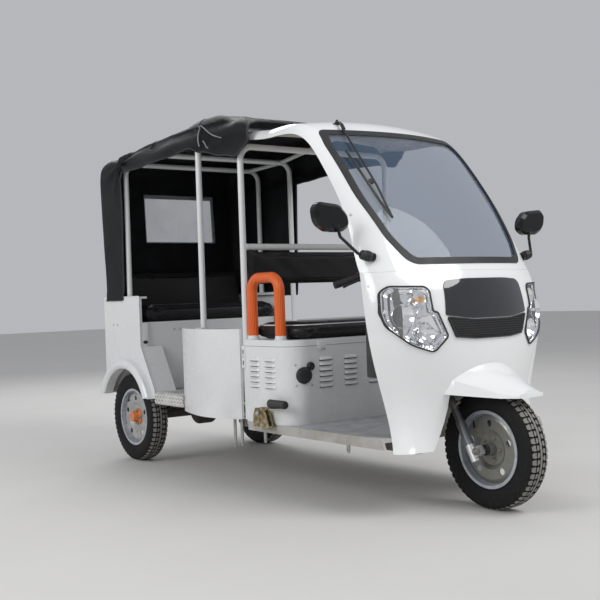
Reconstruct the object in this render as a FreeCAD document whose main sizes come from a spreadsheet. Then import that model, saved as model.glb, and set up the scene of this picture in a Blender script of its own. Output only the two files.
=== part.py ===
import FreeCAD, Part
import math
import os
import re
import Sketcher

# Three-wheeled auto rickshaw: one steered front wheel, driver's cab, canopied rear cabin.
# Millimetres. +X forward, +Y to the vehicle's left, +Z up, wheels on Z = 0.
# A size whose word ends in _back is a distance behind the front axle.

V = FreeCAD.Vector
os.makedirs("parts", exist_ok=True)
doc = FreeCAD.newDocument("auto_rickshaw")
sheet = doc.addObject("Spreadsheet::Sheet", "sizes")

SIZES = (
    # word, value, what it is
    ("front_x", 1259.5, "front axle ahead of the origin"),
    ("wheelbase", 2440, "front axle to rear axle"),
    ("rear_track", 895, "between the rear wheels' middle planes"),
    ("gap", 0.3, "seat clearance between neighbouring pieces"),
    ("tyre_radius", 262, "ground to wheel centre"),
    ("tyre_width", 112, "tyre over its sidewalls"),
    ("tread_width", 98, "tyre over its tread shoulders"),
    ("bead_radius", 160, "tyre's inner radius"),
    ("rim_width", 92, "rim over its flanges"),
    ("flange_radius", 170, "rim flange"),
    ("rim_wall", 4, "rim barrel and disc sheet"),
    ("disc_offset", 12, "wheel disc outward of the middle plane"),
    ("slot_circle", 112, "radius on which the disc's slots lie"),
    ("slot_radius", 15, "half the width of a disc slot"),
    ("slot_count", 5, "slots in a wheel disc"),
    ("hub_radius", 54, "wheel hub"),
    ("hub_depth", 44, "hub length outward from the disc"),
    ("nut_circle", 40, "radius on which the wheel nuts lie"),
    ("nut_radius", 7, "wheel nut"),
    ("front_spindle_radius", 9, "front axle spindle"),
    ("rear_spindle_radius", 15, "rear axle spindle"),
    ("steer_rake", 28.2, "steering axis from the vertical, degrees"),
    ("leg_setback", 38, "fork leg line behind the front axle"),
    ("stem_setback", 73, "steering axis behind the front axle"),
    ("leg_spread", 95, "fork leg from the middle plane"),
    ("leg_radius", 17, "fork leg"),
    ("yoke_low", 284, "fork yoke's underside above the axle, along the rake"),
    ("yoke_depth", 26, "fork yoke"),
    ("stem_radius", 16, "steering stem"),
    ("head_low", 400, "head tube's lower end above the axle, along the rake"),
    ("head_length", 120, "head tube"),
    ("head_radius", 29, "head tube"),
    ("bar_height", 905, "handlebar above the axle, along the rake"),
    ("bar_reach", 372, "grip end from the middle plane"),
    ("bar_radius", 11, "handlebar tube"),
    ("grip_radius", 17, "handlebar grip"),
    ("floor_top", 430, "passenger floor"),
    ("floor_depth", 25, "passenger floor"),
    ("floor_half", 490, "half width of the passenger floor"),
    ("sill_depth", 66, "tread strip at the passengers' door"),
    ("half_panel_end", 1800, "rear end of the right half panel"),
    ("drive_floor_top", 340, "driver's floor"),
    ("drive_floor_depth", 15, "driver's floor plate"),
    ("drive_floor_half", 505, "half width of the driver's floor"),
    ("drive_floor_back", 98, "front end of the driver's floor"),
    ("lip_low", 296, "lower edge of the floor's side lips"),
    ("lip_width", 14, "floor's side lips"),
    ("rail_half", 330, "chassis rail from the middle plane"),
    ("rail_width", 40, "chassis rail"),
    ("rail_height", 60, "chassis rail"),
    ("cabin_front_back", 1214, "front end of the passenger floor and panels"),
    ("well_back", 314, "rear wall of the front wheel's arch"),
    ("well_half", 262, "front wheel arch over its side walls"),
    ("well_top", 590, "front wheel arch"),
    ("well_low", 285, "front wheel arch's lower edge"),
    ("well_wall", 10, "front wheel arch sheet"),
    ("skin", 12, "fibreglass body shell"),
    ("seal_width", 28, "windshield seal as seen from in front"),
    ("dash_back", 330, "dashboard's face"),
    ("dash_top", 1038, "dashboard"),
    ("dash_half", 430, "dashboard from the middle plane"),
    ("post_radius", 16, "cab and canopy tubes"),
    ("post_half", 484, "posts from the middle plane"),
    ("post_bend", 70, "bend of the hoops' corners"),
    ("hoop_back", 1195, "driver's hoop"),
    ("hoop_top", 1720, "driver's hoop's top tube"),
    ("hoop_foot", 345, "driver's hoop's feet"),
    ("midrail_height", 1213, "cross rail behind the driver's head"),
    ("rear_bow_back", 2452, "rear roof bow"),
    ("rear_bow_top", 1789, "rear roof bow"),
    ("mid_bow_back", 2099, "middle roof bow"),
    ("mid_bow_top", 1800, "middle roof bow"),
    ("front_bow_back", 1530, "front roof bow"),
    ("front_bow_top", 1872, "front roof bow"),
    ("door_post_back", 1602, "post at the passengers' door"),
    ("side_half", 520, "rear body over its side panels"),
    ("side_wall", 18, "rear side panel"),
    ("waist", 985, "top of the rear body panels"),
    ("door_sill", 393, "lower edge of the rear side panels"),
    ("door_edge_back", 2272, "front edge of the rear side panels"),
    ("door_kink", 688, "height where that edge starts to slant"),
    ("door_foot_back", 2116, "front foot of that edge"),
    ("tail_back", 2735, "tail panel's outer face"),
    ("arch_radius", 275, "rear wheel opening"),
    ("arch_height", 282, "centre of the rear wheel opening"),
    ("flare_radius", 330, "rear wheel flare's outer edge"),
    ("flare_depth", 36, "rear wheel flare outward of the panel"),
    ("wheel_room", 287, "room cut round a rear wheel"),
    ("wheel_room_half", 376, "inner wall of a rear wheel's room"),
    ("half_panel_top", 800, "half panels beside the passengers"),
    ("half_panel_low", 345, "half panels' lower edge"),
    ("half_panel_wall", 14, "half panels"),
    ("bench_back", 2290, "rear bench's front face"),
    ("bench_top", 832, "rear bench box"),
    ("bench_half", 462, "rear bench"),
    ("bench_wall", 14, "rear bench box sheet"),
    ("bench_cushion", 96, "rear bench cushion's thickness"),
    ("bench_rest", 86, "rear backrest's thickness"),
    ("bench_rest_top", 1145, "rear backrest"),
    ("seat_box_back", 800, "driver's seat box's front face"),
    ("seat_box_half", 505, "driver's seat box"),
    ("seat_box_corner", 110, "plan corner of the driver's seat box"),
    ("seat_box_wall", 14, "driver's seat box sheet"),
    ("seat_seam", 716, "driver's seat box below its lid"),
    ("seat_lid", 30, "seat box lid's thickness"),
    ("seat_cushion", 78, "driver's seat cushion's thickness"),
    ("guard_half", 472, "seat guards from the middle plane"),
    ("guard_radius", 26, "seat guard's sleeve"),
    ("guard_top", 1078, "seat guards"),
    ("louvre_length", 62, "louvre slot"),
    ("louvre_height", 9, "louvre slot"),
    ("louvre_pitch", 26, "between louvre slots"),
    ("louvre_low", 510, "lowest louvre slot"),
    ("guard_rear_back", 1146, "rear leg of a seat guard"),
    ("guard_front_back", 912, "front leg of a seat guard"),
    ("guard_bend", 66, "bend of a seat guard's corners"),
    ("lamp_inset", 90, "tail lamp from the body's side"),
    ("lamp_width", 100, "tail lamp"),
    ("lamp_height", 150, "tail lamp"),
    ("lamp_depth", 26, "tail lamp"),
    ("lamp_drop", 295, "tail lamp's lower edge below the waist"),
    ("tab_width", 20, "brackets that hang under the right side"),
    ("tab_wall", 6, "brackets that hang under the right side"),
    ("tab_out", 502, "those brackets' outer face from the middle plane"),
    ("canopy_half", 521, "canopy over its valances"),
    ("canopy_wall", 6, "canopy cloth with its lining"),
    ("canopy_rear_back", 2781, "canopy's rear edge"),
    ("canopy_rear_top", 1822, "canopy's rear top corner"),
    ("canopy_top", 1905, "canopy's ridge"),
    ("canopy_front_back", 1075, "canopy's front edge"),
    ("canopy_front_top", 1832, "canopy's front edge"),
    ("rear_window_half", 250, "clear window in the rear curtain"),
    ("rear_window_low", 1345, "clear window in the rear curtain"),
    ("rear_window_high", 1635, "clear window in the rear curtain"),
    ("rear_window_shift", 62, "clear window's middle, to the left"),
    ("valance_low", 1750, "lower edge of the canopy's valances"),
    ("beak_reach", 228, "tip of the front fender ahead of the axle"),
    ("beak_wall", 8, "front fender's sheet"),
)

for row, (word, number, note) in enumerate(SIZES, start=1):
    sheet.set(f"A{row}", note)
    sheet.set(f"B{row}", str(number))
    sheet.setAlias(f"B{row}", word)
doc.recompute()

WORDS = {word for word, number, note in SIZES}
MADE = {}


def size(formula):
    """The number that a formula of sheet words gives."""
    return float(sheet.evalExpression(str(formula)))


def bound(formula):
    """The formula as another object states it, each word led by the sheet's name."""
    return re.sub(r"[a-z]\w*", lambda m: "sizes." + m[0] if m[0] in WORDS else m[0], str(formula))


def bind(thing, **formulas):
    """Ties properties to formulas; Base_x stands for Placement.Base.x."""
    for name, formula in formulas.items():
        thing.setExpression(name.replace("Base_", "Placement.Base."), bound(formula))
    return thing


def keep(thing, node):
    """Names a finished sub-part."""
    thing.Label = node
    MADE[node] = thing
    return thing


def block(name, corner, edges):
    """Box from its low corner and its three edges, as formulas."""
    box = doc.addObject("Part::Box", name)
    bind(box, Length=edges[0], Width=edges[1], Height=edges[2])
    bind(box, Base_x=corner[0], Base_y=corner[1], Base_z=corner[2])
    return box


def rod(name, start, axis, radius, length):
    """Cylinder along +X, +Y or +Z from its start point, as formulas."""
    bar = doc.addObject("Part::Cylinder", name)
    turn = {"x": (V(0, 1, 0), 90), "y": (V(1, 0, 0), -90), "z": (V(0, 0, 1), 0)}[axis]
    bar.Placement = FreeCAD.Placement(V(), FreeCAD.Rotation(*turn))
    bind(bar, Radius=radius, Height=length)
    bind(bar, Base_x=start[0], Base_y=start[1], Base_z=start[2])
    return bar


def join(name, *pieces):
    """Union of several objects."""
    union = doc.addObject("Part::MultiFuse", name)
    union.Shapes = list(pieces)
    return union


def cut(name, base, *tools):
    """A base less one or more tools."""
    tool = tools[0] if len(tools) == 1 else join(name + "Tools", *tools)
    rest = doc.addObject("Part::Cut", name)
    rest.Base = base
    rest.Tool = tool
    return rest


def formed(name, shape):
    """A sub-part whose form Part's own functions give."""
    thing = doc.addObject("Part::Feature", name)
    thing.Shape = shape
    thing.Placement = FreeCAD.Placement()
    return thing


def body_plane(body, role):
    """One of a body's own origin planes."""
    return next(f for f in body.Origin.OriginFeatures if f.Role == role)


def arc_between(spot, after, bulge):
    """Counter-clockwise arc in XY over a chord, bulging to the chord's left where bulge is positive."""
    along = after - spot
    chord = along.Length
    left = V(-along.y, along.x, 0) / chord
    radius = (chord * chord / 4 + bulge * bulge) / (2 * bulge)
    centre = (spot + after) * 0.5 + left * (bulge - radius)
    ends = (after, spot) if bulge > 0 else (spot, after)
    angles = [math.atan2(end.y - centre.y, end.x - centre.x) for end in ends]
    return Part.ArcOfCircle(Part.Circle(centre, V(0, 0, 1), abs(radius)), angles[0], angles[1])


def outline(body, name, role, points):
    """Sketch of one closed outline on a body's origin plane.
    Each point is (across, up, bulge): the edge after a point bulges by that much to its left."""
    sketch = body.newObject("Sketcher::SketchObject", name)
    sketch.AttachmentSupport = [(body_plane(body, role), "")]
    sketch.MapMode = "FlatFace"
    spots = [V(size(p[0]), size(p[1]), 0) for p in points]
    count = len(spots)
    first = []
    for i, spot in enumerate(spots):
        after = spots[(i + 1) % count]
        bulge = size(points[i][2])
        if bulge:
            arc = arc_between(spot, after, bulge)
            sketch.addGeometry(arc)
        else:
            sketch.addGeometry(Part.LineSegment(spot, after))
        first.append(2 if bulge > 0 else 1)
    for i in range(count):
        after = (i + 1) % count
        sketch.addConstraint(Sketcher.Constraint("Coincident", i, 3 - first[i], after, first[after]))
    for i, point in enumerate(points):
        if point[2]:
            after = points[(i + 1) % count]
            span = f"((({after[0]}) - ({point[0]}))^2 + (({after[1]}) - ({point[1]}))^2)"
            radius = f"({span} / 4 + ({point[2]})^2) / (2 * ({point[2]}))"
            place = sketch.addConstraint(Sketcher.Constraint("Radius", i, abs(size(radius))))
            sketch.setExpression(f"Constraints[{place}]", bound(f"abs({radius})"))
    for i, spot in enumerate(spots):
        for kind, number, formula, axis in (
            ("DistanceX", spot.x, points[i][0], -2),
            ("DistanceY", spot.y, points[i][1], -1),
        ):
            if abs(number) < 1e-9:
                sketch.addConstraint(Sketcher.Constraint("PointOnObject", i, first[i], axis))
            else:
                spec = Sketcher.Constraint(kind, -1, 1, i, first[i], number)
                place = sketch.addConstraint(spec)
                sketch.setExpression(f"Constraints[{place}]", bound(formula))
    return sketch


def ring(body, name, role, across, up, radius):
    """Sketch of one circle on a body's origin plane."""
    sketch = body.newObject("Sketcher::SketchObject", name)
    sketch.AttachmentSupport = [(body_plane(body, role), "")]
    sketch.MapMode = "FlatFace"
    sketch.addGeometry(Part.Circle(V(size(across), size(up), 0), V(0, 0, 1), size(radius)))
    for kind, formula, axis in (("DistanceX", across, -2), ("DistanceY", up, -1)):
        if abs(size(formula)) < 1e-9:
            sketch.addConstraint(Sketcher.Constraint("PointOnObject", 0, 3, axis))
        else:
            place = sketch.addConstraint(Sketcher.Constraint(kind, -1, 1, 0, 3, size(formula)))
            sketch.setExpression(f"Constraints[{place}]", bound(formula))
    place = sketch.addConstraint(Sketcher.Constraint("Radius", 0, size(radius)))
    sketch.setExpression(f"Constraints[{place}]", bound(radius))
    return sketch


def spun(name, points):
    """Body turned about its own Y axis from an outline of (across, radius, bulge)."""
    body = doc.addObject("PartDesign::Body", name)
    sketch = outline(body, name + "Outline", "YZ_Plane", points)
    turned = body.newObject("PartDesign::Revolution", name + "Turned")
    turned.Profile = sketch
    turned.ReferenceAxis = (sketch, ["H_Axis"])
    turned.Angle = 360
    return body


def plate(name, role, points, start, depth):
    """Body padded from an outline; it starts at a height on the plane's normal axis.
    On XZ the normal axis is Y, and the pad runs towards +Y."""
    body = doc.addObject("PartDesign::Body", name)
    sketch = outline(body, name + "Outline", role, points)
    pad = body.newObject("PartDesign::Pad", name + "Pad")
    pad.Profile = sketch
    pad.Reversed = role == "XZ_Plane"
    pad.setExpression("Length", bound(depth))
    axis = {"XY_Plane": "Base_z", "XZ_Plane": "Base_y", "YZ_Plane": "Base_x"}[role]
    bind(body, **{axis: start})
    return body


def bent_path(points, bend):
    """Wire of straight runs whose inner corners are rounded with one bend radius."""
    runs = [V(*p) for p in points]
    edges = []
    last = runs[0]
    for before, corner, after in zip(runs, runs[1:], runs[2:]):
        into = (corner - before).normalize()
        out = (after - corner).normalize()
        turn = into.getAngle(out)
        reach = bend * math.tan(turn / 2)
        start = corner - into * reach
        end = corner + out * reach
        inward = (out - into).normalize()
        middle = corner + inward * (bend / math.cos(turn / 2) - bend)
        edges.append(Part.LineSegment(last, start).toShape())
        edges.append(Part.Arc(start, middle, end).toShape())
        last = end
    edges.append(Part.LineSegment(last, runs[-1]).toShape())
    return Part.Wire(edges)


def pipe(points, radius, bend):
    """Round bar along a bent path."""
    path = bent_path(points, bend)
    start = V(*points[0])
    along = V(*points[1]) - start
    circle = Part.Wire([Part.makeCircle(radius, start, along)])
    return path.makePipeShell([circle], True, False)


def behind(word):
    """X of a distance behind the front axle."""
    return size("front_x") - size(word)


# Wheels: tyre, rim and hub, each turned about the axle.

TYRE_OUTLINE = (
    # across, radius, bulge of the edge that follows
    ("-rim_width / 2 + 6", "bead_radius", 0),
    ("-rim_width / 2 + 6", "flange_radius + 3", 0),
    ("-rim_width / 2 - 3", "flange_radius + 6", 0),
    ("-tyre_width / 2", "(flange_radius + tyre_radius) / 2", 0),
    ("-tread_width / 2", "tyre_radius - 9", 0),
    ("-tread_width / 2 + 14", "tyre_radius", 0),
    ("tread_width / 2 - 14", "tyre_radius", 0),
    ("tread_width / 2", "tyre_radius - 9", 0),
    ("tyre_width / 2", "(flange_radius + tyre_radius) / 2", 0),
    ("rim_width / 2 + 3", "flange_radius + 6", 0),
    ("rim_width / 2 - 6", "flange_radius + 3", 0),
    ("rim_width / 2 - 6", "bead_radius", 0),
)

RIM_OUTLINE = (
    ("-rim_width / 2", "flange_radius", 0),
    ("-rim_width / 2 + rim_wall", "flange_radius", 0),
    ("-rim_width / 2 + rim_wall", "bead_radius - gap", 0),
    ("rim_width / 2 - rim_wall", "bead_radius - gap", 0),
    ("rim_width / 2 - rim_wall", "flange_radius", 0),
    ("rim_width / 2", "flange_radius", 0),
    ("rim_width / 2", "bead_radius - rim_wall", 0),
    ("disc_offset + rim_wall", "bead_radius - rim_wall", 0),
    ("disc_offset + 16", "slot_circle + 20", 0),
    ("disc_offset + 16", "slot_circle - 24", 0),
    ("disc_offset + rim_wall", "hub_radius + 16", 0),
    ("disc_offset + rim_wall", "hub_radius - 24", 0),
    ("disc_offset", "hub_radius - 24", 0),
    ("disc_offset", "hub_radius + 14", 0),
    ("disc_offset + 11", "slot_circle - 24", 0),
    ("disc_offset + 11", "slot_circle + 18", 0),
    ("disc_offset - rim_wall", "bead_radius - rim_wall", 0),
    ("-rim_width / 2", "bead_radius - rim_wall", 0),
)


def hub_outline(spindle, capped):
    """Hub with a flange that carries the disc and a bore for its spindle, closed by a cap or open."""
    end = "disc_offset + hub_depth"
    bore = spindle + " + gap"
    mouth = ((end, bore, 0),)
    if capped:
        mouth = ((end + " - 12", bore, 0), (end + " - 12", "0", 0), (end, "0", 0))
    return (("-hub_depth / 2", bore, 0), *mouth) + (
        (end, "hub_radius * 0.42", 0),
        ("disc_offset + hub_depth - 16", "hub_radius * 0.5", 0),
        ("disc_offset + rim_wall", "hub_radius * 0.56", 0),
        ("disc_offset + rim_wall", "hub_radius * 0.7", 0),
        ("disc_offset", "hub_radius", 0),
        ("disc_offset - 10", "hub_radius", 0),
        ("disc_offset - 16", "hub_radius * 0.7", 0),
        ("-hub_depth / 2", "hub_radius * 0.6", 0),
    )


def wheel(place, across, spindle, outward):
    """One wheel's three nodes, with its outer face towards outward, 1 or -1."""
    axle = "front_x" if place == "front" else "front_x - wheelbase"
    tall = place.title().replace("_", "")
    tyre = spun("Tyre" + tall, TYRE_OUTLINE)
    rim = spun("Rim" + tall, RIM_OUTLINE)
    slot = ring(rim, "Slot" + tall, "XZ_Plane", 0, "slot_circle", "slot_radius")
    hole = rim.newObject("PartDesign::Pocket", "SlotCut" + tall)
    hole.Profile = slot
    hole.Type = "ThroughAll"
    hole.Midplane = True
    holes = rim.newObject("PartDesign::PolarPattern", "Slots" + tall)
    holes.Originals = [hole]
    holes.Axis = (slot, ["N_Axis"])
    holes.Angle = 360
    holes.Axis = (next(f for f in rim.Origin.OriginFeatures if f.Role == "Y_Axis"), [""])
    holes.setExpression("Occurrences", bound("slot_count"))
    rim.Tip = holes
    hub = spun("Hub" + tall, hub_outline(spindle, place != "front"))
    whole = join("Wheel" + tall, rim, hub)
    turn = FreeCAD.Rotation(V(0, 0, 1), 0 if outward > 0 else 180)
    for piece, node in ((tyre, "tyre_"), (whole, "rim_")):
        piece.Placement = FreeCAD.Placement(V(), turn)
        bind(piece, Base_x=axle, Base_y=across, Base_z="tyre_radius")
        keep(piece, node + place)


wheel("front", "0", "front_spindle_radius", -1)
wheel("rear_left", "rear_track / 2", "rear_spindle_radius", 1)
wheel("rear_right", "-rear_track / 2", "rear_spindle_radius", -1)


# Front fork and handlebar, on the raked steering axis.

RAKE = math.radians(size("steer_rake"))
AXLE = V(size("front_x"), 0, size("tyre_radius"))
UP_FORK = V(-math.sin(RAKE), 0, math.cos(RAKE))
AHEAD_FORK = V(math.cos(RAKE), 0, math.sin(RAKE))


def on_fork(up, setback, side=0.0):
    """Point a distance up the rake from the axle, set back from it and to one side."""
    return AXLE + UP_FORK * up - AHEAD_FORK * setback + V(0, side, 0)


def fork():
    """Two telescopic legs with axle lugs, the spindle, the yoke and the stem in one weldment."""
    leg = size("leg_setback")
    spread = size("leg_spread")
    radius = size("leg_radius")
    yoke = size("yoke_low")
    thick = size("yoke_depth")
    stem = size("stem_setback")
    pieces = []
    for side in (-spread, spread):
        low = on_fork(-34, leg, side)
        pieces.append(Part.makeCylinder(radius + 4, 190, low, UP_FORK))
        pieces.append(Part.makeCylinder(radius, yoke + thick + 46, low, UP_FORK))
        inner = side - math.copysign(radius - 2, side)
        lug = Part.makeBox(leg + 18, 2 * radius - 8, 40)
        lug.Placement = FreeCAD.Placement(
            on_fork(-20, leg, inner - radius + 4 + math.copysign(radius - 2, side)),
            FreeCAD.Rotation(V(0, 1, 0), -size("steer_rake")),
        )
        pieces.append(lug)
    spindle = size("front_spindle_radius")
    pieces.append(Part.makeCylinder(spindle, 2 * spread, AXLE - V(0, spread, 0), V(0, 1, 0)))
    bar = Part.makeBox(stem - leg + 2 * radius + 16, 2 * spread + 2 * radius + 16, thick)
    bar.Placement = FreeCAD.Placement(
        on_fork(yoke, stem + radius + 4, -spread - radius - 8),
        FreeCAD.Rotation(V(0, 1, 0), -size("steer_rake")),
    )
    pieces.append(bar)
    top = size("bar_height") - size("bar_radius") - yoke
    pieces.append(Part.makeCylinder(size("stem_radius"), top, on_fork(yoke, stem), UP_FORK))
    return pieces[0].multiFuse(pieces[1:]).removeSplitter()


def handlebar():
    """Bar swept back from the stem to its two grips, with a clamp on the stem."""
    stem = size("stem_setback")
    height = size("bar_height")
    reach = size("bar_reach")
    tube = size("bar_radius")
    points = []
    for side, up, back in ((-1, 30, 110), (-0.66, 44, 58), (-0.22, 30, 4), (-0.1, 0, 0)):
        points.append(on_fork(height + up, stem + back, side * reach))
    points += [V(p.x, -p.y, p.z) for p in reversed(points)]
    pieces = [pipe(points, tube, 30)]
    grip = size("grip_radius")
    for near, far in ((points[0], points[1]), (points[-1], points[-2])):
        along = (far - near).normalize()
        pieces.append(Part.makeCylinder(grip, 118, near - along * 4, along))
    clamp = Part.makeCylinder(tube + 13, 62, on_fork(height, stem, -31), V(0, 1, 0))
    pieces.append(clamp)
    return pieces[0].multiFuse(pieces[1:]).removeSplitter()


fork_shape = fork()
bar_shape = handlebar()
keep(formed("Handlebar", bar_shape), "handlebar")
keep(formed("Fork", fork_shape.cut(bar_shape)), "front_fork")


def pod():
    """Instrument housing that sits on the handlebar's clamp."""
    stem = size("stem_setback")
    height = size("bar_height") + size("bar_radius") + 14
    box = Part.makeBox(84, 150, 62)
    box.Placement = FreeCAD.Placement(
        on_fork(height, stem + 30, -75), FreeCAD.Rotation(V(0, 1, 0), -size("steer_rake"))
    )
    across = [e for e in box.Edges if e.BoundBox.YLength > 140]
    return box.makeFillet(20, across)


keep(formed("Pod", pod().cut(bar_shape)), "instrument_pod")


# Chassis: two rails low under the driver and high under the passengers, cross beams, head tube.


def head_struts(room):
    """Two tubes that carry the head tube from the front cross beam, with room round them."""
    pieces = []
    for side in (-1, 1):
        start = V(behind("dash_back") - 30, side * 60, size("drive_floor_top - drive_floor_depth") - 24)
        end = on_fork(size("head_low") + 70, size("stem_setback"), side * 16)
        pieces.append(Part.makeCylinder(17 + room, (end - start).Length, start, end - start))
    return pieces[0].fuse(pieces[1])


def head_room(room):
    """Cylinder round the head tube and the stem above it."""
    start = on_fork(size("head_low") - 60, size("stem_setback"))
    return Part.makeCylinder(size("head_radius") + room, 700, start, UP_FORK)


def chassis():
    """Welded steel frame."""
    front = size("front_x")
    rail = size("rail_half")
    wide = size("rail_width")
    tall = size("rail_height")
    low_top = size("drive_floor_top - drive_floor_depth")
    high_top = size("floor_top - floor_depth")
    step = size("cabin_front_back")
    tail = size("tail_back - side_wall - gap")
    nose = size("drive_floor_back") + 24
    pieces = []
    for side in (-rail, rail):
        y = side - wide / 2
        pieces.append(Part.makeBox(step + 60 - nose, wide, tall, V(front - step - 60, y, low_top - tall)))
        pieces.append(Part.makeBox(tail - step - 5, wide, tall, V(front - tail, y, high_top - tall)))
        pieces.append(Part.makeBox(55, wide, high_top - low_top, V(front - step - 60, y, low_top)))
    beams = [(360, low_top), (780, low_top)] + [(back, high_top) for back in (1260, 1750, 2200, 2690)]
    for back, top in beams:
        pieces.append(Part.makeBox(40, 2 * rail, 40, V(front - back - 20, -rail, top - 42)))
    hoop = size("hoop_back")
    foot = size("hoop_foot")
    for side in (-1, 1):
        y = rail if side > 0 else -size("post_half") - 16
        length = size("post_half") + 16 - rail
        pieces.append(Part.makeBox(36, length, 36, V(front - hoop - 18, y, foot - 36)))
    low = on_fork(size("head_low"), size("stem_setback"))
    head = Part.makeCylinder(size("head_radius"), size("head_length"), low, UP_FORK)
    frame = pieces[0].multiFuse(pieces[1:] + [head, head_struts(0)])
    bore = Part.makeCylinder(size("stem_radius + gap"), 480, low - UP_FORK * 60, UP_FORK)
    return frame.cut(bore).removeSplitter()


keep(formed("Chassis", chassis()), "chassis_frame")


# Floors.


def wheel_rooms(name):
    """Pair of cylinders cut round the rear wheels, out to the side panels' inner faces."""
    length = "side_half - side_wall - wheel_room_half"
    back = "front_x - wheelbase"
    right = (back, "-side_half + side_wall", "arch_height")
    left = (back, "wheel_room_half", "arch_height")
    return (
        rod(name + "Right", right, "y", "wheel_room", length),
        rod(name + "Left", left, "y", "wheel_room", length),
    )


passenger_floor = join(
    "PassengerFloorJoined",
    block(
        "PassengerFloorPlate",
        ("front_x - tail_back + side_wall + gap", "-floor_half", "floor_top - floor_depth"),
        ("tail_back - side_wall - gap - cabin_front_back", "2 * floor_half", "floor_depth"),
    ),
    block(
        "DoorSill",
        ("front_x - door_foot_back + gap", "-side_half + 2", "floor_top - sill_depth"),
        ("door_foot_back - gap - half_panel_end - gap", "side_half - 2 - floor_half", "sill_depth"),
    ),
)
keep(cut("PassengerFloor", passenger_floor, *wheel_rooms("FloorRoom")), "passenger_floor")


# Rear body.


def rear_side(side, y):
    """Side panel with its wheel opening, flare and a top flange that carries the bow's foot."""
    name = "RearSide" + side.title()
    rear = "front_x - tail_back"
    edge = "front_x - door_edge_back"
    panel = plate(
        name,
        "XZ_Plane",
        (
            (rear, "door_sill", 0),
            ("front_x - door_foot_back", "door_sill", 0),
            ("front_x - door_foot_back", "floor_top + 4", 0),
            (edge, "door_kink", 0),
            (edge, "waist", 0),
            (rear, "waist", 0),
        ),
        y,
        "side_wall",
    )
    flare_y = "-side_half - flare_depth" if side == "right" else "side_half - side_wall"
    flare = rod(
        name + "Flare",
        ("front_x - wheelbase", flare_y, "arch_height"),
        "y",
        "flare_radius",
        "flare_depth + side_wall",
    )
    trim = block(
        name + "Trim",
        ("front_x - tail_back", "-side_half * 2", "door_sill"),
        ("tail_back - door_foot_back + 40", "4 * side_half", "600"),
    )
    band = doc.addObject("Part::Common", name + "Band")
    band.Base = flare
    band.Tool = trim
    flange_y = "-side_half + side_wall - 1" if side == "right" else "post_half - 18"
    flange = block(
        name + "Flange",
        (rear + " + side_wall + gap", flange_y, "waist - 12"),
        ("tail_back - side_wall - gap - door_edge_back", "side_half - side_wall - post_half + 19", "12"),
    )
    housing_y = "-side_half + side_wall - 1" if side == "right" else "wheel_room_half"
    housing = plate(
        name + "Housing",
        "XZ_Plane",
        (
            ("front_x - bench_back + gap", "floor_top + gap", 0),
            ("front_x - door_foot_back", "floor_top + gap", 0),
            (edge, "door_kink", 0),
            ("front_x - bench_back + gap", "door_kink", 0),
        ),
        housing_y,
        "side_half - side_wall + 1 - wheel_room_half",
    )
    opening = rod(
        name + "Opening",
        ("front_x - wheelbase", "-side_half * 2", "arch_height"),
        "y",
        "arch_radius",
        "4 * side_half",
    )
    joined = join(name + "Joined", panel, band, flange, housing)
    return keep(cut(name + "Panel", joined, opening, *wheel_rooms(name + "Room")), "rear_side_" + side)


rear_side("right", "-side_half")
rear_side("left", "side_half - side_wall")

keep(
    block(
        "TailPanel",
        ("front_x - tail_back", "-side_half + side_wall + gap", "door_sill"),
        ("side_wall", "2 * side_half - 2 * side_wall - 2 * gap", "waist - door_sill"),
    ),
    "tail_panel",
)


# Rear bench.

bench_shell = cut(
    "BenchShell",
    block(
        "BenchBlock",
        ("front_x - tail_back + side_wall + gap", "-bench_half", "floor_top + gap"),
        ("tail_back - side_wall - gap - bench_back", "2 * bench_half", "bench_top - floor_top - gap"),
    ),
    block(
        "BenchHollow",
        ("front_x - tail_back + side_wall + gap + bench_wall", "-wheel_room_half + 15", "floor_top - 5"),
        (
            "tail_back - side_wall - gap - bench_back - 2 * bench_wall",
            "2 * wheel_room_half - 30",
            "bench_top - floor_top - bench_wall",
        ),
    ),
    *wheel_rooms("BenchRoom"),
)
keep(bench_shell, "rear_seat_box")
keep(
    block(
        "BenchCushion",
        ("front_x - tail_back + side_wall + bench_rest + 2 * gap", "-bench_half", "bench_top + gap"),
        ("tail_back - side_wall - bench_rest - 2 * gap - bench_back", "2 * bench_half", "bench_cushion"),
    ),
    "rear_seat_cushion",
)
keep(
    block(
        "BenchRest",
        ("front_x - tail_back + side_wall + gap", "-bench_half + 10", "bench_top + gap"),
        ("bench_rest", "2 * bench_half - 20", "bench_rest_top - bench_top"),
    ),
    "rear_backrest",
)


# Half panels beside the passengers.


def hanging_tab(back, low, top):
    """Holed bracket that hangs under the right side, its lower end cut to a point."""
    wide = size("tab_width")
    x = size("front_x") - back
    face = Part.Face(
        Part.makePolygon(
            [
                V(x - wide / 2, -size("tab_out"), top),
                V(x + wide / 2, -size("tab_out"), top),
                V(x + wide / 2, -size("tab_out"), low + wide / 2),
                V(x + wide / 4, -size("tab_out"), low),
                V(x - wide / 4, -size("tab_out"), low),
                V(x - wide / 2, -size("tab_out"), low + wide / 2),
                V(x - wide / 2, -size("tab_out"), top),
            ]
        )
    )
    hole = Part.makeCylinder(wide * 0.22, 40, V(x, -size("tab_out") - 10, low + wide * 0.7), V(0, 1, 0))
    return face.extrude(V(0, size("tab_wall"), 0)).cut(hole)


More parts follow.
